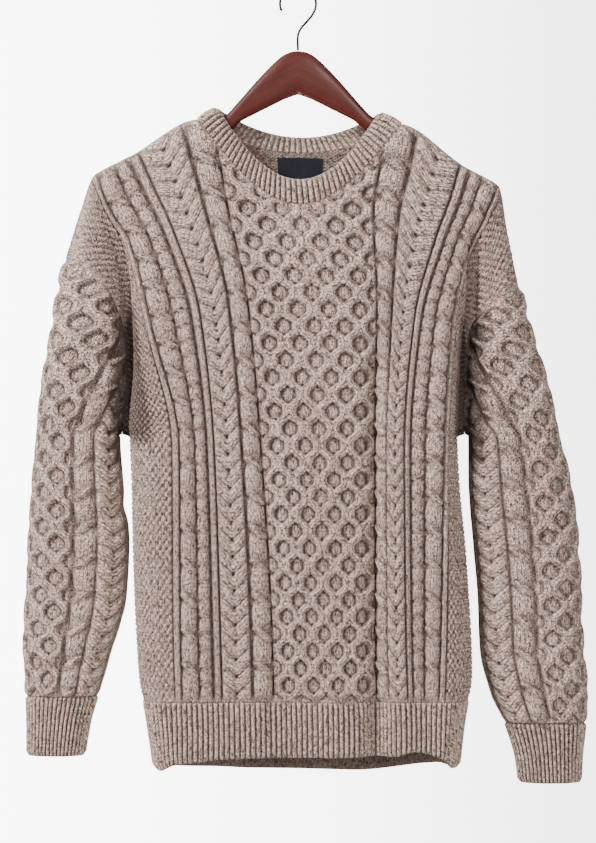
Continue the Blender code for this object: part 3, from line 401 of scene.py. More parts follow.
def lengths_of(line: Array) -> Array:
    """The running length of a line of points, from 0 at its start."""
    return np.concatenate([[0], np.cumsum(np.linalg.norm(np.diff(line, axis=0), axis=1))])


def along_line(places: Array, line: Array, asked: Array | float) -> Array:
    """Reads a line of points at places along it."""
    return np.stack([np.interp(asked, places, line[:, axis]) for axis in range(3)], axis=-1)


def course_level(face: int, side: int, wale: Array, course: float) -> Array:
    """The level of a course at a wale: level at the hem, sloped at the shoulder.

    Args:
        face: FRONT or BACK.
        side: LEFT or RIGHT.
        wale: Wales.
        course: The course, or one for each wale.

    Returns:
        Levels.
    """
    drop = read(SHOULDER_ROWS, "wale", "drop_" + name_of(side), np.abs(wale))
    climb = np.clip((course - UNDERARM_COURSE) / (SHOULDER_COURSE - UNDERARM_COURSE), 0, 1)
    level = HEM_LEVEL + course - drop * climb
    if face == BACK:
        sag = BACK_HEM_SAG * (1 - (np.abs(wale) / HALF_PANEL) ** 2)
        level = level - sag * (1 - np.clip(course / UNDERARM_COURSE, 0, 1))
    return level


def face_place(side: int, wale: Array, course: float) -> Array:
    """Where a wale of the panel's face lies across, out to the start of the side turn.

    Args:
        side: LEFT or RIGHT.
        wale: Wales.
        course: The course.

    Returns:
        Places across.
    """
    word = name_of(side)
    knots = [float(read(PANEL_ROWS, "course", column, course)) for column in
             ("middle", "cells_" + word, "line_" + word, "face_" + word)]
    wales = (0.0, CELLS_WALE, LINE_WALE, FACE_WALE)
    size = np.abs(wale)
    nearer = np.interp(np.clip(size - KNOT_SOFT, 0, None), wales, knots)
    further = np.interp(size + KNOT_SOFT, wales, knots)
    inside = (size > KNOT_SOFT) & (size < FACE_WALE - KNOT_SOFT)
    return np.where(inside, 0.5 * (nearer + further), np.interp(size, wales, knots))


def outline_of(side: int) -> tuple[Array, Array]:
    """The shoulder seam and the sleeve's outer edge, as one line.

    Args:
        side: LEFT or RIGHT.

    Returns:
        The line's places across and its levels.
    """
    wales = np.linspace(NECK_WALE, HALF_PANEL, SHOULDER_SAMPLES)
    word = name_of(side)
    ridge = read(SHOULDER_ROWS, "wale", "ridge_" + word, wales)
    levels = course_level(FRONT, side, wales, SHOULDER_COURSE)
    arm_levels = np.linspace(levels[-1] - SHOULDER_SKIP, LOWEST_LEVEL, ARM_SAMPLES)
    edge = read(ARM_LEVELS, "level", "outer_" + word, arm_levels)
    return np.concatenate([ridge, edge]), np.concatenate([levels, arm_levels])


OUTLINES = {side: outline_of(side) for side in SIDES}


def outline_distance(side: int, place: Array, level: Array) -> Array:
    """How far points lie inside the shoulder and sleeve outline.

    Args:
        side: LEFT or RIGHT.
        place: Places across.
        level: Levels.

    Returns:
        Distances.
    """
    xs, zs = OUTLINES[side]
    px = np.atleast_1d(place)[:, None]
    pz = np.atleast_1d(level)[:, None]
    dx, dz = np.diff(xs)[None, :], np.diff(zs)[None, :]
    t = np.clip(((px - xs[None, :-1]) * dx + (pz - zs[None, :-1]) * dz) / (dx * dx + dz * dz), 0, 1)
    gap = np.hypot(px - xs[None, :-1] - t * dx, pz - zs[None, :-1] - t * dz)
    return gap.min(axis=1)


def fold_depth(face: int, place: Array, level: Array) -> Array:
    """What the folds add to the depth at points of a face.

    Args:
        face: FRONT or BACK.
        place: Places across.
        level: Levels.

    Returns:
        Depths, negative in a trough.
    """
    total = np.zeros_like(np.asarray(place, float))
    for fold in FOLDS:
        if fold.face != face:
            continue
        down = np.clip((fold.top_level - level) / (fold.top_level - HEM_LEVEL), 0, FOLD_REACH)
        path = fold.top_place + (fold.foot_place - fold.top_place) * down
        strength = eased((fold.top_level - level) / FOLD_FADE)
        total += fold.height * strength * np.exp(-((place - path) / fold.half_width) ** 2)
    return total


def yoke_depth(face: int, side: int, place: Array, level: Array) -> Array:
    """Half depth of the body and of the sleeve beside it, with the valley between them.

    Args:
        face: FRONT or BACK.
        side: LEFT or RIGHT.
        place: Places across.
        level: Levels.

    Returns:
        Depths.
    """
    word = name_of(side)
    size = np.abs(place)
    body_edge = np.abs(read(BODY_LEVELS, "level", "body_" + word, level))
    full = read(BODY_LEVELS, "level", "front_depth" if face == FRONT else "back_depth", level)
    arm = read(ARM_LEVELS, "level", "depth", level)
    valley = read(VALLEY_LEVELS, "level", "stand_off", level)
    valley = valley * eased((level - UNDERARM_LEVEL) / SLOT_ROUND)
    valley = np.minimum(valley, np.minimum(full, arm))
    body = valley + (full + fold_depth(face, place, level) - valley) * turned((body_edge - size) / BODY_TURN)
    sleeve = valley + (arm - valley) * turned((size - body_edge - VALLEY_FLOOR) / ARM_TURN)
    depth = np.where(size <= body_edge, body, np.where(size < body_edge + VALLEY_FLOOR, valley, sleeve))
    distance = outline_distance(side, place, level)
    return np.where(level > UNDERARM_LEVEL - 1, depth * turned(distance / SHOULDER_TURN), depth)


def edge_place(side: int, course: float) -> float:
    """Where the panel's own edge lies: the side seam, then the armhole seam.

    Args:
        side: LEFT or RIGHT.
        course: The course.

    Returns:
        The place across.
    """
    level = float(course_level(FRONT, side, HALF_PANEL, course))
    if course <= UNDERARM_COURSE:
        return float(read(BODY_LEVELS, "level", "body_" + name_of(side), level))
    return float(read(ARMHOLE_LEVELS, "level", "seam_" + name_of(side), level))


def panel_row(face: int, side: int, course: float, wales: Array) -> Array:
    """Points of one half course of a panel.

    Args:
        face: FRONT or BACK.
        side: LEFT or RIGHT.
        course: The course.
        wales: Wales of the points.

    Returns:
        The points.
    """
    wales = np.asarray(wales, float)
    place = face_place(side, wales, course)
    level = course_level(face, side, wales, course)
    depth = yoke_depth(face, side, place, level)
    points = np.stack([place, face * depth, level], axis=1)
    start = float(face_place(side, np.array([FACE_WALE]), course)[0])
    end = edge_place(side, course)
    if course >= SHOULDER_COURSE:
        sizes = np.linspace(FACE_WALE, HALF_PANEL, ROW_SAMPLES)
        xs = read(SHOULDER_ROWS, "wale", "ridge_" + name_of(side), sizes)
        xs[0], xs[-1] = start, end
        zs = course_level(face, side, sizes, course)
    else:
        share = np.sin(np.linspace(0, math.pi / 2, ROW_SAMPLES))
        xs = start + (end - start) * share
        zs = course_level(face, side, FACE_WALE + (HALF_PANEL - FACE_WALE) * share, course)
    ys = face * yoke_depth(face, side, xs, zs)
    if course <= UNDERARM_COURSE or course >= SHOULDER_COURSE:
        ys[-1] = 0.0
    lengths = lengths_of(np.stack([xs, ys, zs], axis=1))
    asked = (np.abs(wales) - FACE_WALE) / (HALF_PANEL - FACE_WALE) * lengths[-1]
    beyond = np.abs(wales) > FACE_WALE
    lines = (xs, ys) if course <= UNDERARM_COURSE else (xs, ys, zs)
    for axis, line in enumerate(lines):
        points[beyond, axis] = np.interp(asked[beyond], lengths, line)
    if course >= SHOULDER_COURSE:
        points[:, 1] = 0.0
    return points


HALF_WALES = np.arange(0, HALF_PANEL + GRID_STEP / 2, GRID_STEP)
GRID_WALES = np.concatenate([-HALF_WALES[1:][::-1], HALF_WALES])


def whole_row(face: int, course: float) -> Array:
    """Points of one whole course of a panel, at the grid's wales."""
    left = panel_row(face, LEFT, course, -HALF_WALES[1:][::-1])
    return np.concatenate([left, panel_row(face, RIGHT, course, HALF_WALES)])


class Sheet:
    """A smooth surface kept as a fine grid of points and outward normals."""

    def __init__(self, across: Array, along: Array, points: Array) -> None:
        """Stores the grid and works out its normals.

        Args:
            across: Places of the grid's columns.
            along: Places of the grid's rows.
            points: Points as rows by columns by three.
        """
        self.across, self.along, self.points = across, along, points
        normal = np.cross(np.gradient(points, axis=1), np.gradient(points, axis=0))
        self.normals = normal
        self.renew()

    def turn_over(self) -> None:
        """Points the normals the other way."""
        self.normals = -self.normals

    def renew(self) -> None:
        """Makes the normals one long again after they were changed."""
        self.normals /= np.maximum(np.linalg.norm(self.normals, axis=2, keepdims=True), LEAST)

    def close_round(self) -> None:
        """Joins the normals where a tube closes, and points them all out."""
        self.normals[:, 0] = self.normals[:, -1] = self.normals[:, 0] + self.normals[:, -1]
        self.renew()
        middle = self.points.mean(axis=1, keepdims=True)
        if float((self.normals * (self.points - middle)).sum()) < 0:
            self.turn_over()

    def at(self, across: Array, along: Array) -> tuple[Array, Array]:
        """Reads the surface between its grid points.

        Args:
            across: Column places, any shape.
            along: Row places, the same shape.

        Returns:
            The points and the unit normals.
        """
        i = np.clip(np.searchsorted(self.across, across) - 1, 0, len(self.across) - 2)
        j = np.clip(np.searchsorted(self.along, along) - 1, 0, len(self.along) - 2)
        s = ((across - self.across[i]) / (self.across[i + 1] - self.across[i]))[..., None]
        t = ((along - self.along[j]) / (self.along[j + 1] - self.along[j]))[..., None]

        def blend(grid: Array) -> Array:
            """Reads one grid between its four nearest entries."""
            low, high = ((1 - s) * grid[row, i] + s * grid[row, i + 1] for row in (j, j + 1))
            return (1 - t) * low + t * high

        normals = blend(self.normals)
        size = np.linalg.norm(normals, axis=-1, keepdims=True)
        return blend(self.points), normals / np.maximum(size, LEAST)


class Form(Enum):
    """The kinds of knit columns."""
    HONEYCOMB = "honeycomb"
    ROPE = "rope"
    BRAID = "braid"
    LINE = "line"
    MOSS = "moss"


@dataclass(frozen=True)
class Zone:
    """One knit column: its form, its wales and the courses between its crossings."""
    form: Form
    start: float
    end: float
    pitch: float
    height: float

    @property
    def middle(self) -> float:
        """The wale of the column's middle."""
        return (self.start + self.end) / 2

    @property
    def half(self) -> float:
        """Half the column's width."""
        return (self.end - self.start) / 2


@dataclass(frozen=True)
class Stitch:
    """The size of one stitch, the ground it stands on and the deepest pit between strands."""
    width: float = 4.3
    narrow: float = 3.7
    row: float = 3.3
    ground: float = -2.0
    ladder: float = -2.5
    pit: float = -3.3
    calm: float = 9.0


STITCH = Stitch()
CELL_PITCH = 32.0
CABLE_PITCH = 36.39
ZONES = (
    Zone(Form.HONEYCOMB, 0.0, 66.0, CABLE_PITCH, 6.2),
    Zone(Form.ROPE, 69.0, 94.0, CABLE_PITCH, 7.0),
    Zone(Form.BRAID, 97.0, 135.0, CABLE_PITCH / 2, 5.8),
    Zone(Form.LINE, 137.0, 145.0, CABLE_PITCH / 2, 4.2),
    Zone(Form.ROPE, 148.0, 165.0, CABLE_PITCH / 2, 5.4),
    Zone(Form.ROPE, 167.5, 191.0, CABLE_PITCH, 6.6),
    Zone(Form.LINE, 193.0, 200.0, CABLE_PITCH / 2, 3.8),
    Zone(Form.MOSS, 202.0, 330.0, CABLE_PITCH / 7, 3.4),
)
SLEEVE_ZONES = (
    Zone(Form.HONEYCOMB, 0.0, 62.0, CABLE_PITCH, 5.6),
    Zone(Form.ROPE, 66.0, 88.0, CABLE_PITCH, 6.2),
    Zone(Form.BRAID, 91.0, 123.0, CABLE_PITCH / 2, 5.2),
    Zone(Form.LINE, 125.0, 132.0, CABLE_PITCH / 2, 3.4),
    Zone(Form.MOSS, 133.0, 160.0, CABLE_PITCH / 7, 2.8),
)


class Relief(NamedTuple):
    """What the knit does at each vertex: its height, its stitch place across and its purl share."""
    height: Array
    stitch: Array
    purl: Array


Column = tuple[Array, Array, Array]


def crown_of(share: Array) -> Array:
    """The round top of a strand."""
    return np.sqrt(np.clip(1 - share * share, 0, 1))


def from_nearest(value: Array, pitch: float) -> Array:
    """Signed distance to the nearest multiple of a pitch."""
    return value - pitch * np.round(value / pitch)


@dataclass(frozen=True)
class Knit:
    """Works out the relief of a set of knit columns, laid out both ways from the middle wale."""
    zones: tuple
    stitch: Stitch = STITCH
    strand_half: float = 5.0
    strand_swing: float = 5.2
    strand_flat: float = 0.75
    strand_edge: float = 0.12
    cell_round: float = 0.38
    cell_bulge: float = 1.5
    pit_depth: float = 3.6
    pit_width: float = 1.9
    pit_wave: float = -0.08
    pit_wave_span: float = 0.40
    pit_above: float = 0.45
    waist: float = 0.58
    waist_fill: float = 0.30
    waist_power: float = 0.8
    fill_power: float = 0.9
    rope_edge: float = 0.4
    cross_span: float = 0.17
    cross_reach: float = 1.7
    cross_fade: float = 0.8
    cross_swing: float = 0.55
    cross_half: float = 0.42
    cross_lift: float = 1.15
    cross_tilt: float = 0.74
    arm_rise: float = 0.78
    arm_tilt: float = 0.79
    arm_floor: float = 0.30
    arm_thin: float = 1.96
    arm_middle: float = 0.47
    arm_half: float = 0.54
    arm_edge: float = 0.15
    hole_width: float = 2.0
    hole_height: float = 2.6
    twin_offset: float = 1.8
    twin_half: float = 2.1
    twin_sunk: float = 0.6
    twin_edge: float = 0.1
    moss_crisp: float = 2.2
    moss_purl: float = 0.1

    def relief(self, wale: Array, course: Array) -> Relief:
        """The relief at places of the cloth.

        Args:
            wale: Signed wales, any shape.
            course: Courses, the same shape.

        Returns:
            Heights in millimetres, stitch places across and the share of purl stitches.
        """
        size = np.abs(wale)
        height = np.full(wale.shape, self.stitch.ladder)
        stitch = size / self.stitch.narrow
        purl = np.ones(wale.shape)
        for zone in self.zones:
            inside = (size >= zone.start) & (size < zone.end)
            if not inside.any():
                continue
            raised, offset, reverse = self.column(zone, size[inside], course[inside], np.sign(wale[inside]))
            height[inside] = np.maximum(raised, self.stitch.pit)
            stitch[inside] = offset
            purl[inside] = reverse
        return Relief(height, stitch, purl)

    def column(self, zone: Zone, size: Array, course: Array, side: Array) -> Column:
        """The relief inside one knit column.

        Args:
            zone: The column.
            size: Distances from the middle wale.
            course: Courses.
            side: Which side of the middle each place is on.

        Returns:
            Heights, stitch places across and purl shares.
        """
        outward = size - zone.middle
        if zone.form is Form.HONEYCOMB:
            return self.honeycomb(zone, size, course)
        if zone.form is Form.ROPE:
            return self.rope(zone, outward * side, course)
        if zone.form is Form.BRAID:
            return self.braid(zone, np.abs(outward), course)
        if zone.form is Form.LINE:
            return self.line(zone, outward)
        return self.moss(zone, size, course)

    def honeycomb(self, zone: Zone, size: Array, course: Array) -> Column:
        """Strands that part and meet round rows of staggered cells, with a pit at each tip.

        Args:
            zone: The column.
            size: Distances from the middle wale.
            course: Courses.

        Returns:
            Heights, stitch places across and purl shares.
        """
        phase = 2 * math.pi * course / zone.pitch
        swing = np.cos(phase)
        wave = swing * (1 + self.cell_round - self.cell_round * swing ** 2)
        quarter = CELL_PITCH / 4
        bend = (1 + self.cell_round - 3 * self.cell_round * swing ** 2) * np.sin(phase)
        slope = self.strand_swing * 2 * math.pi / zone.pitch * bend
        lean = 1 / np.sqrt(1 + slope * slope)
        local = np.abs(from_nearest(size, CELL_PITCH))
        own = local - (quarter + self.strand_swing * wave)
        other = local - (3 * quarter - self.strand_swing * wave)
        offset = np.where(np.abs(own) < np.abs(other), own, other) * lean
        crown = crown_of(offset / self.strand_half) ** self.strand_flat
        under = self.cell_bulge * np.cos(math.pi * local / (2 * quarter)) ** 2
        above = np.where(np.sin(phase) > 0, self.pit_above, 1.0)
        below = np.where(np.sin(phase) > 0, 1.0, self.pit_above)
        near = above * np.exp(-(local / self.pit_width) ** 2
                              - ((wave + self.pit_wave) / self.pit_wave_span) ** 2)
        far = below * np.exp(-((2 * quarter - local) / self.pit_width) ** 2
                             - ((wave - self.pit_wave) / self.pit_wave_span) ** 2)
        raised = self.stitch.ground + np.maximum(zone.height * crown, under) - self.pit_depth * (near + far)
        on_strand = offset / self.stitch.narrow + 0.5
        place = np.where(crown > self.strand_edge, on_strand, size / self.stitch.narrow)
        return raised, place, np.zeros(size.shape)

    def rope(self, zone: Zone, across: Array, course: Array) -> Column:
        """Plump oval lobes with a short slanting strand over each waist.

        Args:
            zone: The column.
            across: Distances from the rope's middle.
            course: Courses.

        Returns:
            Heights, stitch places across and purl shares.
        """
        turn = from_nearest(course / zone.pitch, 1.0)
        belly = np.abs(np.sin(math.pi * turn))
        waist = self.waist + (1 - self.waist) * belly ** self.waist_power
        fill = self.waist_fill + (1 - self.waist_fill) * belly ** self.fill_power
        lobe = zone.height * crown_of(across / (zone.half * waist)) * fill
        centre = -zone.half * self.cross_swing * np.clip(turn / self.cross_span, -1, 1)
        offset = (across - centre) * self.cross_tilt
        reach, fade = self.cross_reach * self.cross_span, self.cross_fade * self.cross_span
        end = eased((reach - np.abs(turn)) / fade)
        cross = zone.height * self.cross_lift * crown_of(offset / (zone.half * self.cross_half)) * end
        on_cross = offset / self.stitch.narrow + 0.5
        place = np.where(cross > lobe, on_cross, across / (waist * self.stitch.width))
        top = np.maximum(lobe, cross)
        return self.stitch.ground + top, place, np.where(top < self.rope_edge, 1.0, 0.0)

    def braid(self, zone: Zone, outward: Array, course: Array) -> Column:
        """Nested letters V whose plump arms rise outwards, with a hole in each fork.

        Args:
            zone: The column.
            outward: Distances from the braid's middle, all positive.
            course: Courses.

        Returns:
            Heights, stitch places across and purl shares.
        """
        step = from_nearest((course - self.arm_rise * outward) / zone.pitch, 1.0)
        arm = self.arm_floor + (1 - self.arm_floor) * crown_of(step * self.arm_thin)
        reach = np.sqrt(crown_of((outward - zone.half * self.arm_middle) / (zone.half * self.arm_half)))
        below_fork = from_nearest(course + zone.pitch / 2, zone.pitch)
        hole = np.exp(-(outward / self.hole_width) ** 2 - (below_fork / self.hole_height) ** 2)
        raised = self.stitch.ground + zone.height * arm * reach - self.pit_depth * hole
        place = step * zone.pitch * self.arm_tilt / self.stitch.narrow
        return raised, place, np.where(reach < self.arm_edge, 1.0, 0.0)

    def line(self, zone: Zone, outward: Array) -> Column:
        """Two narrow columns of stitches between sunken ladders.

        Args:
            zone: The column.
            outward: Distances from the line's middle.

        Returns:
            Heights, stitch places across and purl shares.
        """
        crown = crown_of((np.abs(outward) - self.twin_offset) / self.twin_half)
        raised = self.stitch.ground - self.twin_sunk + (zone.height + self.twin_sunk) * crown
        return raised, outward / self.twin_offset / 2, np.where(crown > self.twin_edge, 0.0, 1.0)

    def moss(self, zone: Zone, size: Array, course: Array) -> Column:
        """Double moss: knit and purl stitches in a small chequer.

        Args:
            zone: The column.
            size: Distances from the middle wale.
            course: Courses.

        Returns:
            Heights, stitch places across and purl shares.
        """
        across = np.sin(math.pi * size / self.stitch.width)
        along = np.sin(math.pi * course / zone.pitch)
        chequer = np.tanh(self.moss_crisp * across * along)
        raised = self.stitch.ground + zone.height * (0.5 + 0.5 * chequer)
        return raised, size / self.stitch.width, np.where(chequer > 0, self.moss_purl, 1 - self.moss_purl)


@dataclass(frozen=True)
class Rib:
    """Works out the relief of a band of upright ribs."""
    count: int
    stitch: Stitch = STITCH
    knit_share: float = 0.37
    floor: float = -1.8
    rise: float = 3.5
    bead: float = 0.07
    stitch_share: float = 1.25
    stitch_step: int = 3
    purl_edge: float = 0.05

    def relief(self, share: Array, course: Array) -> Relief:
        """The relief at places of a band.

        Args:
            share: Places along the band from 0 to 1.
            course: Heights on the band in millimetres.

        Returns:
            Heights in millimetres, stitch places across and the share of purl stitches.
        """
        local = np.mod(share * self.count, 1.0) - 0.5
        crown = crown_of(local / self.knit_share)
        beads = 1 - self.bead * np.cos(2 * math.pi * course / self.stitch.row)
        height = self.floor + self.rise * crown * beads
        place = local * self.stitch_share + 0.5 + self.stitch_step * np.floor(share * self.count)
        return Relief(height, place, np.where(crown > self.purl_edge, 0.0, 1.0))


def ring_strip(first: list, second: list) -> list:
    """Triangles between two lines of vertices that begin and end together.

    Args:
        first: Vertex numbers of one line.
        second: Vertex numbers of the other line.

    Returns:
        Triangles as tuples of vertex numbers.
    """
    faces = []
    i = j = 0
    while i < len(first) - 1 or j < len(second) - 1:
        share_first = (i + 1) / max(len(first) - 1, 1)
        share_second = (j + 1) / max(len(second) - 1, 1)
        if j == len(second) - 1 or (i < len(first) - 1 and share_first <= share_second):
            faces.append((first[i], second[j], first[i + 1]))
            i += 1
        else:
            faces.append((first[i], second[j], second[j + 1]))
            j += 1
    return faces


@dataclass
class Grid:
    """A grid of places to build a wall on, with its relief and the painted shade laid on it."""
    across: Array
    along: Array
    relief: Relief
    round_it: bool = False
    # Painted shade added to the cavity values
    shade: Array | float = 0.0


@dataclass
class Wall:
    """A closed wall: a fine outer grid, a plain inner grid and rims between them.

    One inner cell spans inner_step outer cells. inner_relief is the knit seen on the inner side,
    where it has its own.
    """
    name: str
    outer: Grid
    inner_step: int = 3
    inner_relief: Relief | None = None
    least_step: float = 0.1

    def picks(self, count: int) -> Array:
        """Rows or columns of the outer grid that the inner grid shares."""
        steps = max(2, round((count - 1) / self.inner_step) + 1)
        return np.unique(np.linspace(0, count - 1, steps).round().astype(int))

    def make(self, outer_points: Array, inner_points: Array) -> Object:
        """Builds the object.

        Args:
            outer_points: Points of the outer grid, rows by columns by three.
            inner_points: Points of the inner side on the same grid.

        Returns:
            The new object.
        """
        rows, columns = outer_points.shape[:2]
        keep_rows = self.picks(rows)
        keep_columns = self.picks(columns + 1)[:-1] if self.outer.round_it else self.picks(columns)
        inner = inner_points[np.ix_(keep_rows, keep_columns)]
        outer_ids = np.arange(rows * columns).reshape(rows, columns)
        inner_ids = rows * columns + np.arange(inner.shape[0] * inner.shape[1]).reshape(inner.shape[:2])
        if self.outer.round_it:
            outer_ids = np.concatenate([outer_ids, outer_ids[:, :1]], axis=1)
            inner_ids = np.concatenate([inner_ids, inner_ids[:, :1]], axis=1)
        faces = quads(outer_ids) + [face[::-1] for face in quads(inner_ids)]
        rims = ring_strip(list(outer_ids[0]), list(inner_ids[0]))
        rims += [face[::-1] for face in ring_strip(list(outer_ids[-1]), list(inner_ids[-1]))]
        if not self.outer.round_it:
            rims += [face[::-1] for face in ring_strip(list(outer_ids[:, 0]), list(inner_ids[:, 0]))]
            rims += ring_strip(list(outer_ids[:, -1]), list(inner_ids[:, -1]))
        rims = [tuple(int(v) for v in face) for face in rims]
        points = np.concatenate([outer_points.reshape(-1, 3), inner.reshape(-1, 3)]) * MM
        item = mesh_object(self.name, points, faces + rims)
        self.mark(item, keep_rows, keep_columns, self.cavity(outer_points))
        return item

    def cavity(self, points: Array) -> Array:
        """How far each outer vertex lies below the cloth round it, with the grid's painted shade added.

        Args:
            points: Points of the outer grid.

        Returns:
            Depths in millimetres, negative on the tops of strands, plus the grid's painted shade; the wool
            darkens by them as painted shade.
        """
        mean = self.outer.relief.height
        for axis in range(2):
            step = float(np.median(np.linalg.norm(np.diff(points, axis=axis), axis=2)))
            reach = int(np.clip(round(CAVITY_REACH / max(step, self.least_step)), 1, CAVITY_MOST))
            pads = [(0, 0), (0, 0)]
            pads[axis] = (reach, reach)
            wide = np.pad(mean, pads, mode="wrap" if axis == 1 and self.outer.round_it else "edge")
            count = mean.shape[axis]
            shifted = [np.take(wide, range(k, k + count), axis=axis) for k in range(2 * reach + 1)]
            mean = np.mean(shifted, axis=0)
        return mean - self.outer.relief.height + self.outer.shade

    def mark(self, item: Object, keep_rows: Array, keep_columns: Array,
             cavity: Array) -> None:
        """Writes the stitch places, the purl shares and the cavities, which carry the painted shade, onto the
        mesh.

        Args:
            item: The object.
            keep_rows: Outer rows that the inner side keeps.
            keep_columns: Outer columns that the inner side keeps.
            cavity: How much painted shade each outer vertex gets: how far it lies below the cloth round it,
                plus the grid's painted shade.
        """
        relief, along = self.outer.relief, self.outer.along
        pick = np.ix_(keep_rows, keep_columns)
        plain = np.zeros(len(keep_rows) * len(keep_columns))
        inner = self.inner_relief or Relief(None, self.outer.across / STITCH.width, None)
        # Painted shade inside the garment; the neckband's inner ribs get painted shade in their grooves
        # instead
        inner_shade = plain + INSIDE_SHADE
        if inner.height is not None:
            inner_shade = -INSIDE_RIB_SHADE * inner.height[pick].ravel()
        inner_purl = plain + 1.0 if inner.purl is None else inner.purl[pick].ravel()
        values = {
            "stitch_across": np.concatenate([relief.stitch.ravel(), inner.stitch[pick].ravel()]),
            "stitch_along": np.concatenate([along.ravel(), along[pick].ravel()]) / STITCH.row,
            "purl": np.concatenate([relief.purl.ravel(), inner_purl]),
            "cavity": np.concatenate([cavity.ravel(), inner_shade]),
        }
        for key, numbers in values.items():
            layer = item.data.attributes.new(key, "FLOAT", "POINT")
            layer.data.foreach_set("value", numbers.astype(np.float32))


def quads(ids: Array) -> list:
    """Quads of a grid of vertex numbers."""
    corners = np.stack([ids[:-1, :-1], ids[:-1, 1:], ids[1:, 1:], ids[1:, :-1]], axis=-1)
    return [tuple(face) for face in corners.reshape(-1, 4).tolist()]


def mesh_object(name: str, points: Array, faces: list) -> Object:
    """Makes a smooth-shaded object whose faces point out.

    Args:
        name: The object's name.
        points: Vertices in metres.
        faces: Faces as tuples of vertex numbers.

    Returns:
        The linked object.
    """
    data = bpy.data.meshes.new(name)
    data.from_pydata(points.tolist(), [], faces)
    data.update()
    data.calc_loop_triangles()
    triangles = np.array([triangle.vertices[:] for triangle in data.loop_triangles])
    a, b, c = (points[triangles[:, k]] for k in range(3))
    if float((a * np.cross(b, c)).sum()) < 0:
        data.flip_normals()
    data.shade_smooth()
    item = bpy.data.objects.new(name, data)
    bpy.context.collection.objects.link(item)
    return item


@lru_cache(maxsize=None)
def panel_sheet(face: int) -> Sheet:
    """The nominal outer surface of the front or the back.

    Args:
        face: FRONT or BACK.

    Returns:
        The sheet, by wale and course.
    """
    courses = np.concatenate([np.arange(0, SHOULDER_COURSE - 1, GRID_STEP), [SHOULDER_COURSE]])
    sheet = Sheet(GRID_WALES, courses, np.array([whole_row(face, course) for course in courses]))
    if face == BACK:
        sheet.turn_over()
    sheet.normals[-1, :, 1] = 0.0
    sheet.normals[0, :, 2] = 0.0
    below = sheet.along <= UNDERARM_COURSE
    for column in (0, -1):
        sheet.normals[below, column, 1] = 0.0
    sheet.renew()
    return sheet


def top_courses(face: int, wales: Array) -> Array:
    """The courses where wales end, at the neck or at the shoulder.

    Args:
        face: FRONT or BACK.
        wales: Signed wales.

    Returns:
        Courses.
    """
    depth = FRONT_NECK_DEPTH if face == FRONT else BACK_NECK_DEPTH
    inside = 1 - np.minimum(np.abs(wales) / NECK_WALE, 1) ** 2
    return SHOULDER_COURSE - depth * inside


def parted(face: int, points: Array) -> Array:
    """Keeps a panel's points on its own side of the middle."""
    points[..., 1] = face * np.maximum(face * points[..., 1], PART_GAP)
    return points


def arm_section(face: int, side: int, level: float) -> Array:
    """Half of a sleeve's section at a level.

    Args:
        face: FRONT or BACK.
        side: LEFT or RIGHT.
        level: The section's level.

    Returns:
        Points from the outer line to the inner end.
    """
    word = name_of(side)
    share = (1 - np.cos(np.linspace(0, math.pi, ROW_SAMPLES))) / 2
    if level >= UNDERARM_LEVEL:
        xs_line, zs_line = OUTLINES[side]
        outer = float(np.interp(-level, -zs_line, xs_line))
        inner = float(read(ARMHOLE_LEVELS, "level", "seam_" + word, level))
        place = outer + (inner - outer) * share
        depth = yoke_depth(face, side, place, np.full(ROW_SAMPLES, level))
    else:
        outer = float(read(ARM_LEVELS, "level", "outer_" + word, level))
        inner = float(read(ARM_LEVELS, "level", "inner_" + word, level))
        place = outer + (inner - outer) * share
        arm = float(read(ARM_LEVELS, "level", "depth", level))
        turn = min(ARM_TURN, abs(outer - inner) / 2)
        depth = arm * turned(np.abs(outer - place) / turn) * turned(np.abs(place - inner) / turn)
    depth[0] = 0.0
    return np.stack([place, face * depth, np.full(ROW_SAMPLES, level)], axis=1)


@lru_cache(maxsize=None)
def section_line(face: int, side: int, level: float) -> tuple[Array, Array]:
    """A sleeve half section with its running length."""
    line = arm_section(face, side, level)
    return lengths_of(line), line


def join_frame(item: Object, node: str, material: Material) -> None:
    """Gives a piece its material and joins it to the frame.

    Args:
        item: The piece.
        node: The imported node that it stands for.
        material: Its material.
    """
    item.data.materials.clear()
    item.data.materials.append(material)
    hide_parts(node)
    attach(item, BODY)


@dataclass(frozen=True)
class Cloth:
    """A knitted piece: its name, the node it stands for and its flat cut in metres."""
    name: str
    node: str
    cut: tuple[float, float]

    def make(self) -> Object:
        """Builds the piece, each kind in its own way."""
        raise NotImplementedError

    def dress(self, item: Object, wool: Material) -> None:
        """Gives the piece its wool and joins it to the frame."""
        join_frame(item, self.node, wool)


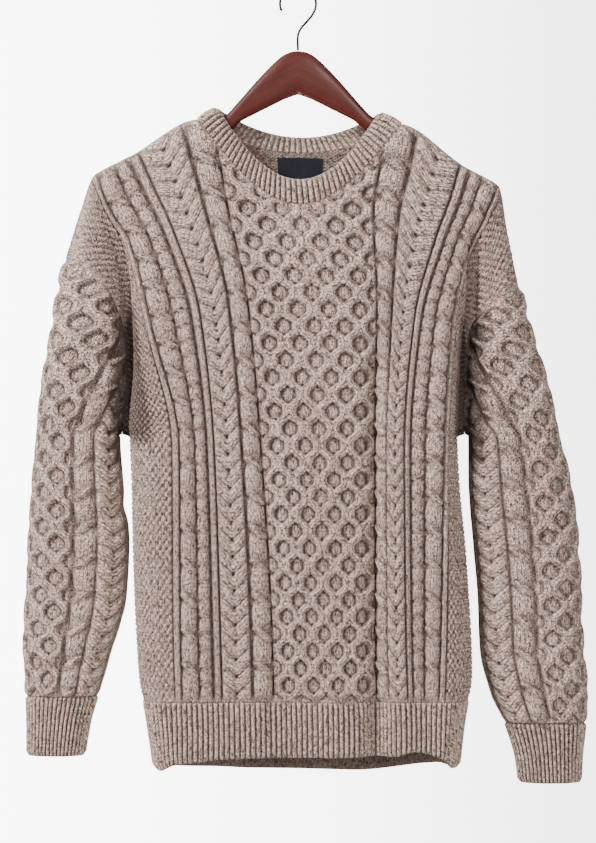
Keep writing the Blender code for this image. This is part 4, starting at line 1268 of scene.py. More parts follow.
@dataclass(frozen=True)
class Panel(Cloth):
    """The front or the back, with painted shade on the cloth that is tucked beside the sleeve."""
    face: int
    step: float
    # Wales and courses of the painted shade on the cloth tucked beside the sleeve
    tuck_wale: float = 214.0
    tuck_low: float = 262.0
    tuck_high: float = 500.0

    def make(self) -> Object:
        """Raises the knit on the panel's sheet.

        Returns:
            The object.
        """
        wales = np.linspace(-HALF_PANEL, HALF_PANEL, int(2 * HALF_PANEL / self.step) + 1)
        shares = np.linspace(0, 1, int(SHOULDER_COURSE / self.step) + 1)
        tops = top_courses(self.face, wales)
        course = shares[:, None] * tops[None, :]
        wale = np.broadcast_to(wales, course.shape)
        relief = Knit(ZONES).relief(wale, course)
        calm = eased((tops[None, :] - course) / STITCH.calm) * eased(course / STITCH.calm)
        side_calm = eased((HALF_PANEL - np.abs(wale)) / STITCH.calm)
        relief = relief._replace(height=relief.height * calm * side_calm)
        # Painted shade on the cloth tucked beside the sleeve
        tuck_shade_mask = eased((np.abs(wale) - self.tuck_wale) / TUCK_SOFT)
        tuck_shade_mask = tuck_shade_mask * eased((course - self.tuck_low) / TUCK_SOFT)
        tuck_shade_mask = tuck_shade_mask * eased((self.tuck_high - course) / TUCK_SOFT)
        points, normals = panel_sheet(self.face).at(wale, course)
        outer = parted(self.face, points + normals * relief.height[..., None])
        inner = parted(self.face, points - normals * WALL_UNDER)
        return Wall(self.name, Grid(wale, course, relief, shade=TUCK_SHADE * tuck_shade_mask)).make(outer, inner)


@dataclass(frozen=True)
class Hem(Cloth):
    """The ribbed band under the front or the back."""
    face: int
    ribs: int = 78

    def sheet(self) -> Sheet:
        """The band's nominal outer surface, from its lower edge (0) to the seam (1).

        Returns:
            The sheet, by wale and share of the height.
        """
        tall = read(HEM_ROWS, "wale", "front_rib" if self.face == FRONT else "back_rib", GRID_WALES)
        shares = np.linspace(0, 1, HEM_LEVELS)
        rows = []
        for share in shares:
            row = whole_row(self.face, -(1 - share) * HEM_RIB)
            row[:, 2] += (1 - share) * (HEM_RIB - tall) - share * PART_GAP
            rows.append(row)
        sheet = Sheet(GRID_WALES, shares, np.array(rows))
        if self.face == BACK:
            sheet.turn_over()
        sheet.normals[:, :, 2] = 0.0
        sheet.normals[:, (0, -1), 1] = 0.0
        sheet.renew()
        return sheet

    def make(self) -> Object:
        """Raises the ribs, evenly along the band.

        Returns:
            The object.
        """
        sheet = self.sheet()
        shares = np.linspace(0, 1, self.ribs * RIB_CELLS + 1)
        lengths = lengths_of(sheet.points[-1])
        wales = np.interp(shares * lengths[-1], lengths, sheet.across)
        share, up = np.meshgrid(shares, np.linspace(0, 1, int(HEM_RIB / RIB_ROW) + 1))
        wale = np.broadcast_to(wales, up.shape)
        relief = Rib(self.ribs).relief(share, up * HEM_RIB)
        calm = eased(up * HEM_RIB / EDGE_ROUND + EDGE_LEFT)
        calm = calm * eased((1 - up) * HEM_RIB / SEAM_SOFT + SEAM_LEFT)
        relief = relief._replace(height=relief.height * calm)
        points, normals = sheet.at(wale, up)
        edge = EDGE_TUCK * (1 - eased(up * HEM_RIB / EDGE_ROUND))
        outer = parted(self.face, points + normals * (relief.height - edge)[..., None])
        inner = parted(self.face, points - normals * (WALL_UNDER - EDGE_UNDER * edge)[..., None])
        return Wall(self.name, Grid(wale, up * HEM_RIB, relief), RIB_INNER_STEP).make(outer, inner)


class Crease(NamedTuple):
    """A soft dent across a sleeve: its middle, its slope, its reach and its depth."""
    side: int
    place: float
    level: float
    slope: float
    reach: float
    depth: float


CREASES = (
    Crease(LEFT, -225, -470, 0.35, 13, -3.5),
    Crease(LEFT, -215, -575, 0.5, 12, -4.0),
    Crease(LEFT, -250, -655, -0.4, 14, -3.0),
    Crease(LEFT, -262, -735, 0.3, 11, -3.5),
    Crease(RIGHT, 235, -470, -0.4, 13, -3.5),
    Crease(RIGHT, 262, -590, -0.5, 13, -3.5),
    Crease(RIGHT, 270, -690, 0.4, 12, -3.0),
    Crease(RIGHT, 275, -765, -0.3, 11, -3.5),
)


@dataclass(frozen=True)
class Sleeve(Cloth):
    """A sleeve with its knit, from the armhole seam to the cuff, with painted shade where it is tucked beside
    the body.
    """
    side: int
    step: float
    half: float = 138.0
    # Where the painted shade lies on the sleeve beside the body
    tuck_place: float = 211.0
    tuck_soft: float = 18.0
    tuck_top: float = -250.0
    tuck_foot: float = -530.0
    crease_across: float = 45.0
    least_reach: float = 1e-6

    def armhole(self) -> tuple[Array, Array]:
        """The sleeve's upper edge, once round from the underarm.

        Returns:
            Shares of the way from -1 to 1, and the points.
        """
        away = np.array([self.side * ARMHOLE_GAP_OUT, 0.0, -ARMHOLE_GAP_DOWN]) * SEAM_CLOSE
        courses = np.linspace(SHOULDER_COURSE, UNDERARM_COURSE + SLOT_CLEAR, ARMHOLE_STEPS)
        edge = float(read(BODY_LEVELS, "level", "body_" + name_of(self.side), UNDERARM_LEVEL))
        low = np.array([[edge + self.side * UNDERARM_CLEAR, 0.0, UNDERARM_LEVEL + UNDERARM_RISE]])
        halves = {}
        for face in FACES:
            points, _ = panel_sheet(face).at(np.full(len(courses), self.side * HALF_PANEL), courses)
            points = points + away
            points[0, 1] = 0.0
            lengths = lengths_of(points)
            shares = np.concatenate([face * lengths / (lengths[-1] + UNDERARM_REACH), [face]])
            halves[face] = (shares, np.concatenate([points, low]))
        shares = np.concatenate([halves[FRONT][0][::-1], halves[BACK][0][1:]])
        points = np.concatenate([halves[FRONT][1][::-1], halves[BACK][1][1:]])
        return shares, points

    def sheet(self) -> Sheet:
        """The sleeve's nominal outer surface: share round it, and drop below its upper edge.

        Returns:
            The sheet.
        """
        ring_shares, ring = self.armhole()
        shares = np.linspace(-1, 1, 2 * SLEEVE_GRID + 1)
        top = along_line(ring_shares, ring, shares)
        downs = np.linspace(0, 1, SLEEVE_GRID_ROWS)
        points = np.zeros((len(downs), len(shares), 3))
        reaches = {}
        for face in FACES:
            own = ring_shares * face >= 0
            reaches[face] = sorted(zip(-ring[own][:, 2], np.abs(ring_shares[own])))
        for j, down in enumerate(downs):
            for i, share in enumerate(shares):
                face = FRONT if share <= 0 else BACK
                level = top[i, 2] + (CUFF_SEAMS[self.side] - top[i, 2]) * down
                reach = np.interp(-level, *zip(*reaches[face]))
                lengths, line = section_line(face, self.side, round(float(level), 1))
                asked = lengths[-1] * min(abs(share) / max(reach, self.least_reach), 1.0)
                points[j, i] = along_line(lengths, line, asked)
                points[j, i, 2] = level
        points[:, 0] = points[:, -1]
        points[0] = top
        sheet = Sheet(shares, downs, points)
        sheet.normals[-1, :, 2] = 0.0
        sheet.normals[0] = sheet.normals[2]
        sheet.close_round()
        return sheet

    def creases(self, points: Array) -> Array:
        """How far the creases push the surface in.

        Args:
            points: Points of the sleeve.

        Returns:
            Offsets along the normals.
        """
        total = np.zeros(points.shape[:-1])
        for crease in CREASES:
            if crease.side != self.side:
                continue
            across = points[..., 0] - crease.place
            off_line = points[..., 2] - crease.level - crease.slope * across
            dent = (off_line / crease.reach) ** 2 + (across / self.crease_across) ** 2
            total += crease.depth * np.exp(-dent)
        return total

    def make(self) -> Object:
        """Raises the knit on the sleeve's sheet.

        Returns:
            The object.
        """
        sheet = self.sheet()
        shares = np.linspace(-1, 1, int(2 * self.half / self.step) + 1)[:-1]
        length = float(sheet.points[0, len(sheet.across) // 2, 2] - sheet.points[-1, 0, 2])
        share, up = np.meshgrid(shares, np.linspace(0, 1, int(length / self.step) + 1))
        points, normals = sheet.at(share, 1 - up)
        course = points[..., 2] - sheet.points[-1, 0, 2]
        relief = Knit(SLEEVE_ZONES).relief(share * self.half, course)
        calm = eased(course / SEAM_SOFT + SEAM_LEFT) * eased((1 - up) * length / STITCH.calm)
        relief = relief._replace(height=relief.height * calm)
        outer = points + normals * (relief.height + self.creases(points))[..., None]
        inner = points - normals * WALL_UNDER
        # Painted shade on the sleeve where it is tucked beside the body
        tuck_shade_mask = eased((self.tuck_place - np.abs(points[..., 0])) / self.tuck_soft)
        tuck_shade_mask = tuck_shade_mask * eased((self.tuck_top - points[..., 2]) / TUCK_SOFT)
        tuck_shade_mask = tuck_shade_mask * eased((points[..., 2] - self.tuck_foot) / TUCK_SOFT)
        grid = Grid(share * self.half, course, relief, True, TUCK_SHADE * tuck_shade_mask)
        return Wall(self.name, grid).make(outer, inner)


@dataclass(frozen=True)
class Cuff(Cloth):
    """The ribbed cuff below a sleeve."""
    side: int
    tall: float = 65.0
    ribs: int = 42
    samples: int = 160
    tuck: float = 2.2

    def sheet(self) -> Sheet:
        """The cuff's nominal outer surface, from its lower edge (0) to the seam (1).

        Returns:
            The sheet, by share round it and share of the height.
        """
        top = CUFF_SEAMS[self.side] - PART_GAP
        levels = np.linspace(top - self.tall, top, HEM_LEVELS)
        shares = np.linspace(0, 1, self.samples + 1)
        rows = []
        for level in levels:
            front, back = arm_section(FRONT, self.side, level), arm_section(BACK, self.side, level)
            row = np.concatenate([front[::-1], back[1:]])
            lengths = lengths_of(row)
            rows.append(along_line(lengths, row, shares * lengths[-1]))
        sheet = Sheet(shares, (levels - levels[0]) / self.tall, np.array(rows))
        sheet.normals[:, :, 2] = 0.0
        sheet.close_round()
        return sheet

    def make(self) -> Object:
        """Raises the ribs, evenly round the wrist.

        Returns:
            The object.
        """
        shares = np.linspace(0, 1, self.ribs * RIB_CELLS + 1)[:-1]
        share, up = np.meshgrid(shares, np.linspace(0, 1, int(self.tall / RIB_ROW) + 1))
        relief = Rib(self.ribs).relief(share, up * self.tall)
        calm = eased((1 - up) * self.tall / SEAM_SOFT + SEAM_LEFT)
        relief = relief._replace(height=relief.height * calm - self.tuck * (1 - calm))
        edge = EDGE_TUCK * (1 - eased(up * self.tall / EDGE_ROUND))
        points, normals = self.sheet().at(share, up)
        outer = points + normals * (relief.height - edge)[..., None]
        inner = points - normals * (WALL_UNDER - EDGE_UNDER * edge)[..., None]
        grid = Grid(share * self.ribs * RIB_WIDTH, up * self.tall, relief, True)
        return Wall(self.name, grid, RIB_INNER_STEP).make(outer, inner)


@lru_cache(maxsize=None)
def neck_line(face: int) -> tuple[Array, Array, Array]:
    """The panel's neck edge.

    Args:
        face: FRONT or BACK.

    Returns:
        Wales, points and normals.
    """
    wales = NECK_WALE * np.sin(np.linspace(-math.pi / 2, math.pi / 2, NECK_STEPS))
    points, normals = panel_sheet(face).at(wales, top_courses(face, wales))
    points[[0, -1], 1] = 0.0
    normals[[0, -1], 1] = 0.0
    return wales, points, normals / np.linalg.norm(normals, axis=1, keepdims=True)


@dataclass(frozen=True)
class Neckband(Cloth):
    """The neckband: one ribbed ring whose upper edge rolls over."""
    ribs: int = 84
    rows: int = 24
    samples: int = 721
    tall: float = 29.0
    half_width: float = 86.0
    peak_level: float = -130.0
    right_drop: float = 6.0
    front_fall: float = 76.0
    back_fall: float = 28.0
    depth: float = 20.0
    square: float = 0.6
    roll: float = 2.0
    edge_calm: float = 0.5
    inner_step: int = 1
    inner_depth: float = 3.4
    inner_tuck: float = 0.6
    inner_rib: float = 0.9
    chord: int = 2

    def place(self, angle: float) -> tuple[Array, Array]:
        """The band's seam point and upper edge point at an angle round it.

        Args:
            angle: 0 at the middle of the front, positive towards +X.

        Returns:
            Seam point and upper edge point.
        """
        face = FRONT if math.cos(angle) >= 0 else BACK
        wales, points, _ = neck_line(face)
        seam = along_line(wales, points, NECK_WALE * math.sin(angle))
        fall = self.front_fall if face == FRONT else self.back_fall
        right_drop = self.right_drop * (1 + math.sin(angle)) / 2
        depth = self.depth * abs(math.cos(angle)) ** self.square
        level = self.peak_level - fall * math.cos(angle) ** 2 - right_drop
        return seam, np.array([self.half_width * math.sin(angle), face * depth, level])

    def make(self) -> Object:
        """Raises the ribs on both sides of the ring.

        Returns:
            The object.
        """
        fine = np.linspace(-math.pi, math.pi, self.samples)
        middles = np.array([sum(self.place(angle)) / 2 for angle in fine])
        shares = np.linspace(0, 1, self.ribs * RIB_CELLS + 1)[:-1]
        lengths = lengths_of(middles)
        angles = np.interp(shares * lengths[-1], lengths, fine)
        seams, uppers = (np.array(column) for column in zip(*(self.place(angle) for angle in angles)))
        rise, total = uppers - seams, uppers + seams
        outward = np.cross(np.roll(total, -self.chord, axis=0) - np.roll(total, self.chord, axis=0), rise)
        outward /= np.linalg.norm(outward, axis=1, keepdims=True)
        share, up = np.meshgrid(shares, np.linspace(0, 1, self.rows))
        relief = Rib(self.ribs).relief(share, up * self.tall)
        edge = eased((up - 1) * self.tall / EDGE_ROUND + 1)
        tuck, roll, calm = EDGE_TUCK * edge, self.roll * np.sin(math.pi * up), 1 - self.edge_calm * edge
        base = seams[None] + rise[None] * up[..., None]
        outer = base + outward[None] * (relief.height * calm + roll - tuck)[..., None]
        reverse = Rib(self.ribs).relief(share + 0.5 / self.ribs, up * self.tall)
        depth = self.inner_depth - roll - self.inner_tuck * tuck + self.inner_rib * reverse.height * calm
        inner = base - outward[None] * depth[..., None]
        grid = Grid(share * self.ribs * RIB_WIDTH, up * self.tall, relief, True)
        return Wall(self.name, grid, self.inner_step, reverse).make(outer, inner)


@dataclass(frozen=True)
class Sweater:
    """The whole sweater, piece by piece, on a grid of the given fineness."""
    fineness: float
    back_coarser: float = 1.2
    sleeve_finer: float = 0.95

    def pieces(self) -> list[Cloth]:
        """Lists the knitted pieces with their flat cuts.

        Returns:
            The pieces in the order they are made.
        """
        sleeve_step = self.fineness * self.sleeve_finer
        return [
            Panel("knit_front", "front", (0.52, 0.62), FRONT, self.fineness),
            Panel("knit_back", "back", (0.52, 0.64), BACK, self.fineness * self.back_coarser),
            Hem("rib_hem_front", "hem_front", (0.44, 0.062), FRONT),
            Hem("rib_hem_back", "hem_back", (0.44, 0.062), BACK),
            Sleeve("knit_sleeve_left", "sleeve_left", (0.27, 0.43), LEFT, sleeve_step),
            Sleeve("knit_sleeve_right", "sleeve_right", (0.27, 0.43), RIGHT, sleeve_step),
            Cuff("rib_cuff_left", "cuff_left", (0.19, 0.066), LEFT),
            Cuff("rib_cuff_right", "cuff_right", (0.21, 0.066), RIGHT),
            Neckband("rib_neckband", "neckband", (0.50, 0.03)),
        ]


def tube_object(name: str, rings: list) -> Object:
    """A closed tube through rings of points, with flat ends.

    Args:
        name: The object's name.
        rings: Rings of points in millimetres, all with the same count.

    Returns:
        The object.
    """
    points = np.array(rings)
    ids = np.arange(points.shape[0] * points.shape[1]).reshape(points.shape[:2])
    closed = np.concatenate([ids, ids[:, :1]], axis=1)
    ends = [tuple(int(v) for v in ids[0]), tuple(int(v) for v in ids[-1][::-1])]
    return mesh_object(name, points.reshape(-1, 3) * MM, quads(closed) + ends)


@dataclass(frozen=True)
class HangerWood:
    """The wooden hanger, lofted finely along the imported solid's own upper and lower edges."""
    name: str = "hanger_wood"
    node: str = "hanger_body"
    stations: int = 170
    sides: int = 28
    square: float = 0.62
    crown_narrow: float = 0.45
    end_length: float = 7.0
    end_blunt: float = 0.12
    end_height: float = 0.55
    soft: float = 1.2
    soft_steps: int = 7
    end_clear: float = 0.4
    off_middle: float = 0.05
    above: float = 100.0
    below: float = -400.0

    def soften(self, places: Array, levels: list) -> Array:
        """An edge of the wood with its corners rounded off."""
        reach = np.linspace(-self.soft, self.soft, self.soft_steps)
        return np.mean([np.interp(places + shift, places, levels) for shift in reach], axis=0)

    def make(self, packed: Object) -> Object:
        """Finds the arms' edges by rays through the middle of the wood and lofts the arms.

        Args:
            packed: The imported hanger.

        Returns:
            The object.
        """
        corners = [packed.matrix_world @ vertex.co / MM for vertex in packed.data.vertices]
        tree = BVHTree.FromPolygons(corners, [polygon.vertices[:] for polygon in packed.data.polygons])
        start = min(corner.x for corner in corners) + self.end_clear
        reach = max(corner.x for corner in corners) - self.end_clear
        half = max(corner.y for corner in corners)
        places = np.linspace(start, reach, self.stations)
        tops, feet = [], []
        for place in places:
            above = Vector((place, self.off_middle, self.above))
            below = Vector((place, self.off_middle, self.below))
            tops.append(tree.ray_cast(above, Vector((0, 0, -1)))[0].z)
            feet.append(tree.ray_cast(below, Vector((0, 0, 1)))[0].z)
        rings = []
        for place, top, foot in zip(places, self.soften(places, tops), self.soften(places, feet)):
            end = min(1.0, (abs(places[-1]) - abs(place)) / self.end_length + self.end_blunt)
            shrink = math.sqrt(max(0.0, 1 - (1 - end) ** 2))
            tall = (top - foot) / 2 * (self.end_height + (1 - self.end_height) * shrink)
            rings.append(self.ring(place, half * shrink, (top + foot) / 2, tall))
        return tube_object(self.name, rings)

    def ring(self, place: float, half: float, middle: float, tall: float) -> list:
        """One section of the arm, narrower at its crown.

        Args:
            place: Where it stands.
            half: Half its thickness.
            middle: The level of its middle.
            tall: Half its height.

        Returns:
            Points.
        """
        points = []
        for k in range(self.sides):
            turn = 2 * math.pi * k / self.sides
            across = math.copysign(abs(math.cos(turn)) ** self.square, math.cos(turn))
            up = math.copysign(abs(math.sin(turn)) ** self.square, math.sin(turn))
            narrow = 1 - self.crown_narrow * max(0.0, up) ** 3
            points.append((place, across * half * narrow, middle + up * tall))
        return points

    def dress(self, item: Object, wood: Material) -> None:
        """Stains the wood and joins it to the frame."""
        join_frame(item, self.node, wood)


class StemRow(NamedTuple):
    """A point of the wire below the loop."""
    across: float
    level: float


HOOK_STEM = (
    StemRow(0.0, -68.6),
    StemRow(-0.4, -57.0),
    StemRow(0.6, -49.7),
    StemRow(4.0, -43.7),
    StemRow(9.7, -37.2),
    StemRow(14.6, -31.4),
)


@dataclass(frozen=True)
class WireHook:
    """The wire hook, a smooth bent rod with a rounded end."""
    name: str = "hook_wire"
    node: str = "hanger_hook"
    wire: float = 1.4
    sides: int = 14
    end_steps: int = 2
    end_least: float = 0.04
    loop: float = 18.0
    start: float = -25.0
    end: float = 205.0
    steps: int = 22
    cuts: int = 4

    def path(self) -> Array:
        """The wire's middle line, from the wood up and over the loop.

        Returns:
            Points.
        """
        path = [(row.across, 0.0, row.level) for row in HOOK_STEM]
        radius = self.loop + self.wire
        for k in range(self.steps + 1):
            angle = math.radians(self.start + (self.end - self.start) * k / self.steps)
            path.append((radius * math.cos(angle), 0.0, -self.loop + radius * math.sin(angle)))
        return self.smooth(np.array(path))

    def smooth(self, path: Array) -> Array:
        """A Catmull-Rom line through the points of a path.

        Args:
            path: Points.

        Returns:
            More points.
        """
        wide = np.concatenate([[2 * path[0] - path[1]], path, [2 * path[-1] - path[-2]]])
        rows = []
        for k in range(1, len(wide) - 2):
            before, first, last, after = wide[k - 1:k + 3]
            for t in np.arange(self.cuts) / self.cuts:
                square = (2 * before - 5 * first + 4 * last - after) * t * t
                cube = (3 * first - before - 3 * last + after) * t ** 3
                rows.append(0.5 * (2 * first + (last - before) * t + square + cube))
        return np.array(rows + [path[-1]])

    def make(self) -> Object:
        """Bends the rod along its path.

        Returns:
            The object.
        """
        path = self.path()
        turns = 2 * math.pi * np.arange(self.sides)[:, None] / self.sides
        across = np.array([0.0, 1.0, 0.0])
        rings = []
        for k, point in enumerate(path):
            ahead = path[min(k + 1, len(path) - 1)] - path[max(k - 1, 0)]
            up = np.cross(ahead / np.linalg.norm(ahead), across)
            left = (len(path) - 1 - k) / self.end_steps
            radius = self.wire * math.sqrt(max(self.end_least, 1 - max(0.0, 1 - left) ** 2))
            rings.append(point + radius * (np.cos(turns) * across + np.sin(turns) * up))
        return tube_object(self.name, rings)

    def dress(self, item: Object, paint: Material) -> None:
        """Paints the wire and joins it to the frame."""
        join_frame(item, self.node, paint)


class Graph:
    """A short way to add and join nodes."""

    def __init__(self, tree: bpy.types.NodeTree) -> None:
        """Keeps the node tree to add to."""
        self.tree = tree

    def node(self, kind: str, **values: object) -> bpy.types.Node:
        """Adds a node and sets its properties.

        Args:
            kind: The node's type name.
            **values: Properties to set.

        Returns:
            The node.
        """
        made = self.tree.nodes.new(kind)
        for key, value in values.items():
            setattr(made, key, value)
        return made

    def feed(self, socket: Socket, value: object) -> None:
        """Joins a socket to another, or sets its constant.

        Args:
            socket: The input.
            value: An output socket or a constant.
        """
        if isinstance(value, Socket):
            self.tree.links.new(value, socket)
        else:
            socket.default_value = value

    def fill(self, made: bpy.types.Node, values: dict) -> bpy.types.Node:
        """Feeds several inputs of a node.

        Args:
            made: The node.
            values: Output sockets or constants by the input's name or number.

        Returns:
            The node.
        """
        for key, value in values.items():
            self.feed(made.inputs[key], value)
        return made

    def math(self, operation: str, first: object, second: object = 0.0) -> Socket:
        """Adds a math node."""
        return self.fill(self.node("ShaderNodeMath", operation=operation), {0: first, 1: second}).outputs[0]

    def add(self, first: object, second: object) -> Socket:
        """The sum of two values."""
        return self.math("ADD", first, second)

    def less(self, first: object, second: object) -> Socket:
        """The first value less the second."""
        return self.math("SUBTRACT", first, second)

    def times(self, first: object, second: object) -> Socket:
        """The product of two values."""
        return self.math("MULTIPLY", first, second)

    def size(self, value: object) -> Socket:
        """A value without its sign."""
        return self.math("ABSOLUTE", value)

    def attribute(self, name: str) -> Socket:
        """Reads a float attribute of the mesh."""
        return self.node("ShaderNodeAttribute", attribute_name=name).outputs["Fac"]

    def place(self, output: str = "Object") -> Socket:
        """The place on the object, or another texture coordinate."""
        return self.node("ShaderNodeTexCoord").outputs[output]

    def split(self, vector: object) -> list[Socket]:
        """The three parts of a vector."""
        return list(self.fill(self.node("ShaderNodeSeparateXYZ"), {0: vector}).outputs)

    def join(self, x: object, y: object, z: object) -> Socket:
        """Makes a vector of three values."""
        return self.fill(self.node("ShaderNodeCombineXYZ"), {0: x, 1: y, 2: z}).outputs[0]

    def noise(self, vector: object, scale: float, detail: float = 2.0,
              rough: float = 0.5) -> Socket:
        """Adds a noise texture."""
        values = {"Vector": vector, "Scale": scale, "Detail": detail, "Roughness": rough}
        return self.fill(self.node("ShaderNodeTexNoise"), values).outputs["Fac"]

    def remap(self, value: object, low: float, high: float, to_low: float,
              to_high: float) -> Socket:
        """Maps a range of values to another, clamped."""
        values = dict(enumerate((value, low, high, to_low, to_high)))
        return self.fill(self.node("ShaderNodeMapRange"), values).outputs[0]

    def mix(self, share: object, first: object, second: object) -> Socket:
        """Mixes two colours."""
        made = self.node("ShaderNodeMix", data_type="RGBA")
        return self.fill(made, {0: share, 6: first, 7: second}).outputs[2]

    def blend(self, share: object, first: object, second: object) -> Socket:
        """Mixes two numbers."""
        made = self.node("ShaderNodeMix", data_type="FLOAT")
        return self.fill(made, {0: share, 2: first, 3: second}).outputs[0]

    def bump(self, height: object, distance: float, normal: object = None) -> Socket:
        """Turns heights into a normal.

        Args:
            height: The heights.
            distance: How far they stand, in metres.
            normal: A normal to start from.

        Returns:
            The normal output.
        """
        values = {"Height": height, "Distance": distance}
        if normal is not None:
            values["Normal"] = normal
        return self.fill(self.node("ShaderNodeBump"), values).outputs[0]


def new_material(name: str) -> tuple[Material, Graph, bpy.types.Node]:
    """Makes a material with a graph to add to.

    Args:
        name: The material's name.

    Returns:
        The material, its graph and its shader.
    """
    made = bpy.data.materials.new(name)
    made.use_nodes = True
    return made, Graph(made.node_tree), made.node_tree.nodes["Principled BSDF"]


@dataclass(frozen=True)
class WoolFinish:
    """The marl yarn: its colours, its stitches, the strength of its surface and the painted shade in its gaps
    and hollows.
    """
    cream: tuple = (0.84, 0.695, 0.605, 1.0)
    rose: tuple = (0.66, 0.465, 0.380, 1.0)
    grey: tuple = (0.345, 0.268, 0.232, 1.0)
    brown: tuple = (0.115, 0.066, 0.047, 1.0)
    # Painted shade colour for the gaps between stitch legs and the knit's hollows
    shade_colour: tuple = (0.036, 0.021, 0.016, 1.0)
    brown_stop: float = 0.415
    grey_stop: float = 0.462
    rose_stop: float = 0.515
    cream_stop: float = 0.575
    wobble_scale: float = 130.0
    wobble: float = 0.35
    strands_apart: float = 110.0
    ply_across: float = 2.3
    ply_along: float = 0.8
    ply_share: float = 0.45
    fibre_across: float = 6.0
    fibre_along: float = 1.5
    fibre_share: float = 0.25
    fleck_scale: float = 420.0
    fleck_share: float = 0.30
    fuzz_scale: float = 900.0
    drift_scale: float = 9.0
    drift: float = 0.14
    leg_slant: float = 1.3
    leg_steep: float = 0.3
    bead_power: float = 2.6
    bar_bow: float = 1.6
    bar_power: float = 3.0
    # Painted shade: crevice in the gaps between stitch legs, valley from the cavity attribute
    crevice_top: float = 0.7
    crevice_shade: float = 0.92
    valley_depth: float = 2.6
    valley: float = 0.84
    stitch_bump: float = 0.0017
    fibre_bump: float = 0.0004
    roughness: float = 0.92
    specular: float = 0.2
    sheen: float = 0.16
    sheen_roughness: float = 0.5

    def knit(self, graph: Graph, across: object, along: object) -> tuple:
        """The two slanted legs of a knit stitch.

        Args:
            graph: The graph to add to.
            across: Stitch place across.
            along: Stitch place along.

        Returns:
            The height and the place along the leg.
        """
        local = graph.size(graph.less(graph.math("FRACT", across), 0.5))
        lean = graph.less(along, graph.times(local, self.leg_slant))
        off = graph.less(graph.times(local, 4.0), 1.0)
        depth = graph.add(graph.times(off, self.leg_steep), 1 - self.leg_steep)
        leg = graph.less(1.0, graph.times(graph.times(off, off), depth))
        bead = graph.less(graph.times(graph.math("FRACT", lean), 2.0), 1.0)
        bead = graph.less(1.0, graph.math("POWER", graph.size(bead), self.bead_power))
        return graph.math("POWER", graph.math("MAXIMUM", graph.times(leg, bead), 0.0), 0.5), lean

    def purl(self, graph: Graph, across: object, along: object) -> Socket:
        """The bars of purl stitches, shifted from row to row.

        Args:
            graph: The graph to add to.
            across: Stitch place across.
            along: Stitch place along.

        Returns:
            The height.
        """
        rows = graph.times(along, 2.0)
        shift = graph.times(graph.math("MODULO", graph.math("FLOOR", rows), 2.0), 0.5)
        local = graph.less(graph.math("FRACT", graph.add(across, shift)), 0.5)
        bow = graph.times(graph.times(local, local), self.bar_bow)
        bar = graph.less(graph.times(graph.math("FRACT", graph.add(rows, bow)), 2.0), 1.0)
        bar = graph.less(1.0, graph.times(bar, bar))
        edge = graph.math("POWER", graph.size(graph.times(local, 2.0)), self.bar_power)
        product = graph.math("MAXIMUM", graph.times(bar, graph.less(1.0, edge)), 0.0)
        return graph.math("POWER", product, 0.5)

    def marl(self, graph: Graph, tone: object) -> Socket:
        """The yarn's four colours, from dark to pale.

        Args:
            graph: The graph to add to.
            tone: Where each fibre lies between them.

        Returns:
            The colour.
        """
        ramp = graph.fill(graph.node("ShaderNodeValToRGB"), {0: tone})
        stops = ramp.color_ramp.elements
        stops[0].position, stops[0].color = self.brown_stop, self.brown
        stops[1].position, stops[1].color = self.cream_stop, self.cream
        for position, colour in ((self.grey_stop, self.grey), (self.rose_stop, self.rose)):
            stops.new(position).color = colour
        return ramp.outputs[0]

    def material(self) -> Material:
        """Marl wool: knit stitches that follow the cables, flecks, fibres, painted shade in the stitch gaps
        and hollows, and a soft sheen.

        Returns:
            The material.
        """
        made, graph, shader = new_material("wool_marl")
        across, along = graph.attribute("stitch_across"), graph.attribute("stitch_along")
        place = graph.place()
        apart = graph.times(graph.split(place)[0], self.strands_apart)
        wobble = graph.less(graph.noise(place, self.wobble_scale, 1.0), 0.5)
        across = graph.add(across, graph.times(wobble, self.wobble))
        knit, lean = self.knit(graph, across, along)
        height = graph.blend(graph.attribute("purl"), knit, self.purl(graph, across, along))
        ply_place = graph.join(graph.times(across, self.ply_across), graph.times(lean, self.ply_along), apart)
        ply = graph.noise(ply_place, 1.0, 2.0, 0.6)
        fine_across, fine_along = graph.times(across, self.fibre_across), graph.times(lean, self.fibre_along)
        fibres = graph.noise(graph.join(fine_across, fine_along, apart), 1.0, 3.0, 0.6)
        fuzz = graph.noise(place, self.fuzz_scale, 3.0, 0.65)
        fleck = graph.noise(place, self.fleck_scale, 2.0, 0.7)
        tone = graph.add(graph.times(fleck, self.fleck_share), graph.times(fibres, self.fibre_share))
        colour = self.marl(graph, graph.add(tone, graph.times(ply, self.ply_share)))
        drift = graph.remap(graph.noise(place, self.drift_scale, 2.0), 0.3, 0.7, 0.0, self.drift)
        colour = graph.mix(drift, colour, self.brown)
        # Painted shade in the gaps between stitch legs, where the stitch height is low
        colour = graph.mix(graph.remap(height, 0.0, self.crevice_top, self.crevice_shade, 0.0), colour, self.shade_colour)
        # Painted shade from the cavity attribute: hollows of the knit, inside the garment and tucked cloth
        valley = graph.remap(graph.attribute("cavity"), 0.0, self.valley_depth, 0.0, self.valley)
        coarse = graph.bump(height, self.stitch_bump)
        graph.fill(shader, {
            "Base Color": graph.mix(valley, colour, self.shade_colour),
            "Roughness": self.roughness,
            "Specular IOR Level": self.specular,
            "Sheen Weight": self.sheen,
            "Sheen Roughness": self.sheen_roughness,
            "Sheen Tint": self.cream,
            "Normal": graph.bump(graph.add(fuzz, fibres), self.fibre_bump, coarse),
        })
        return made


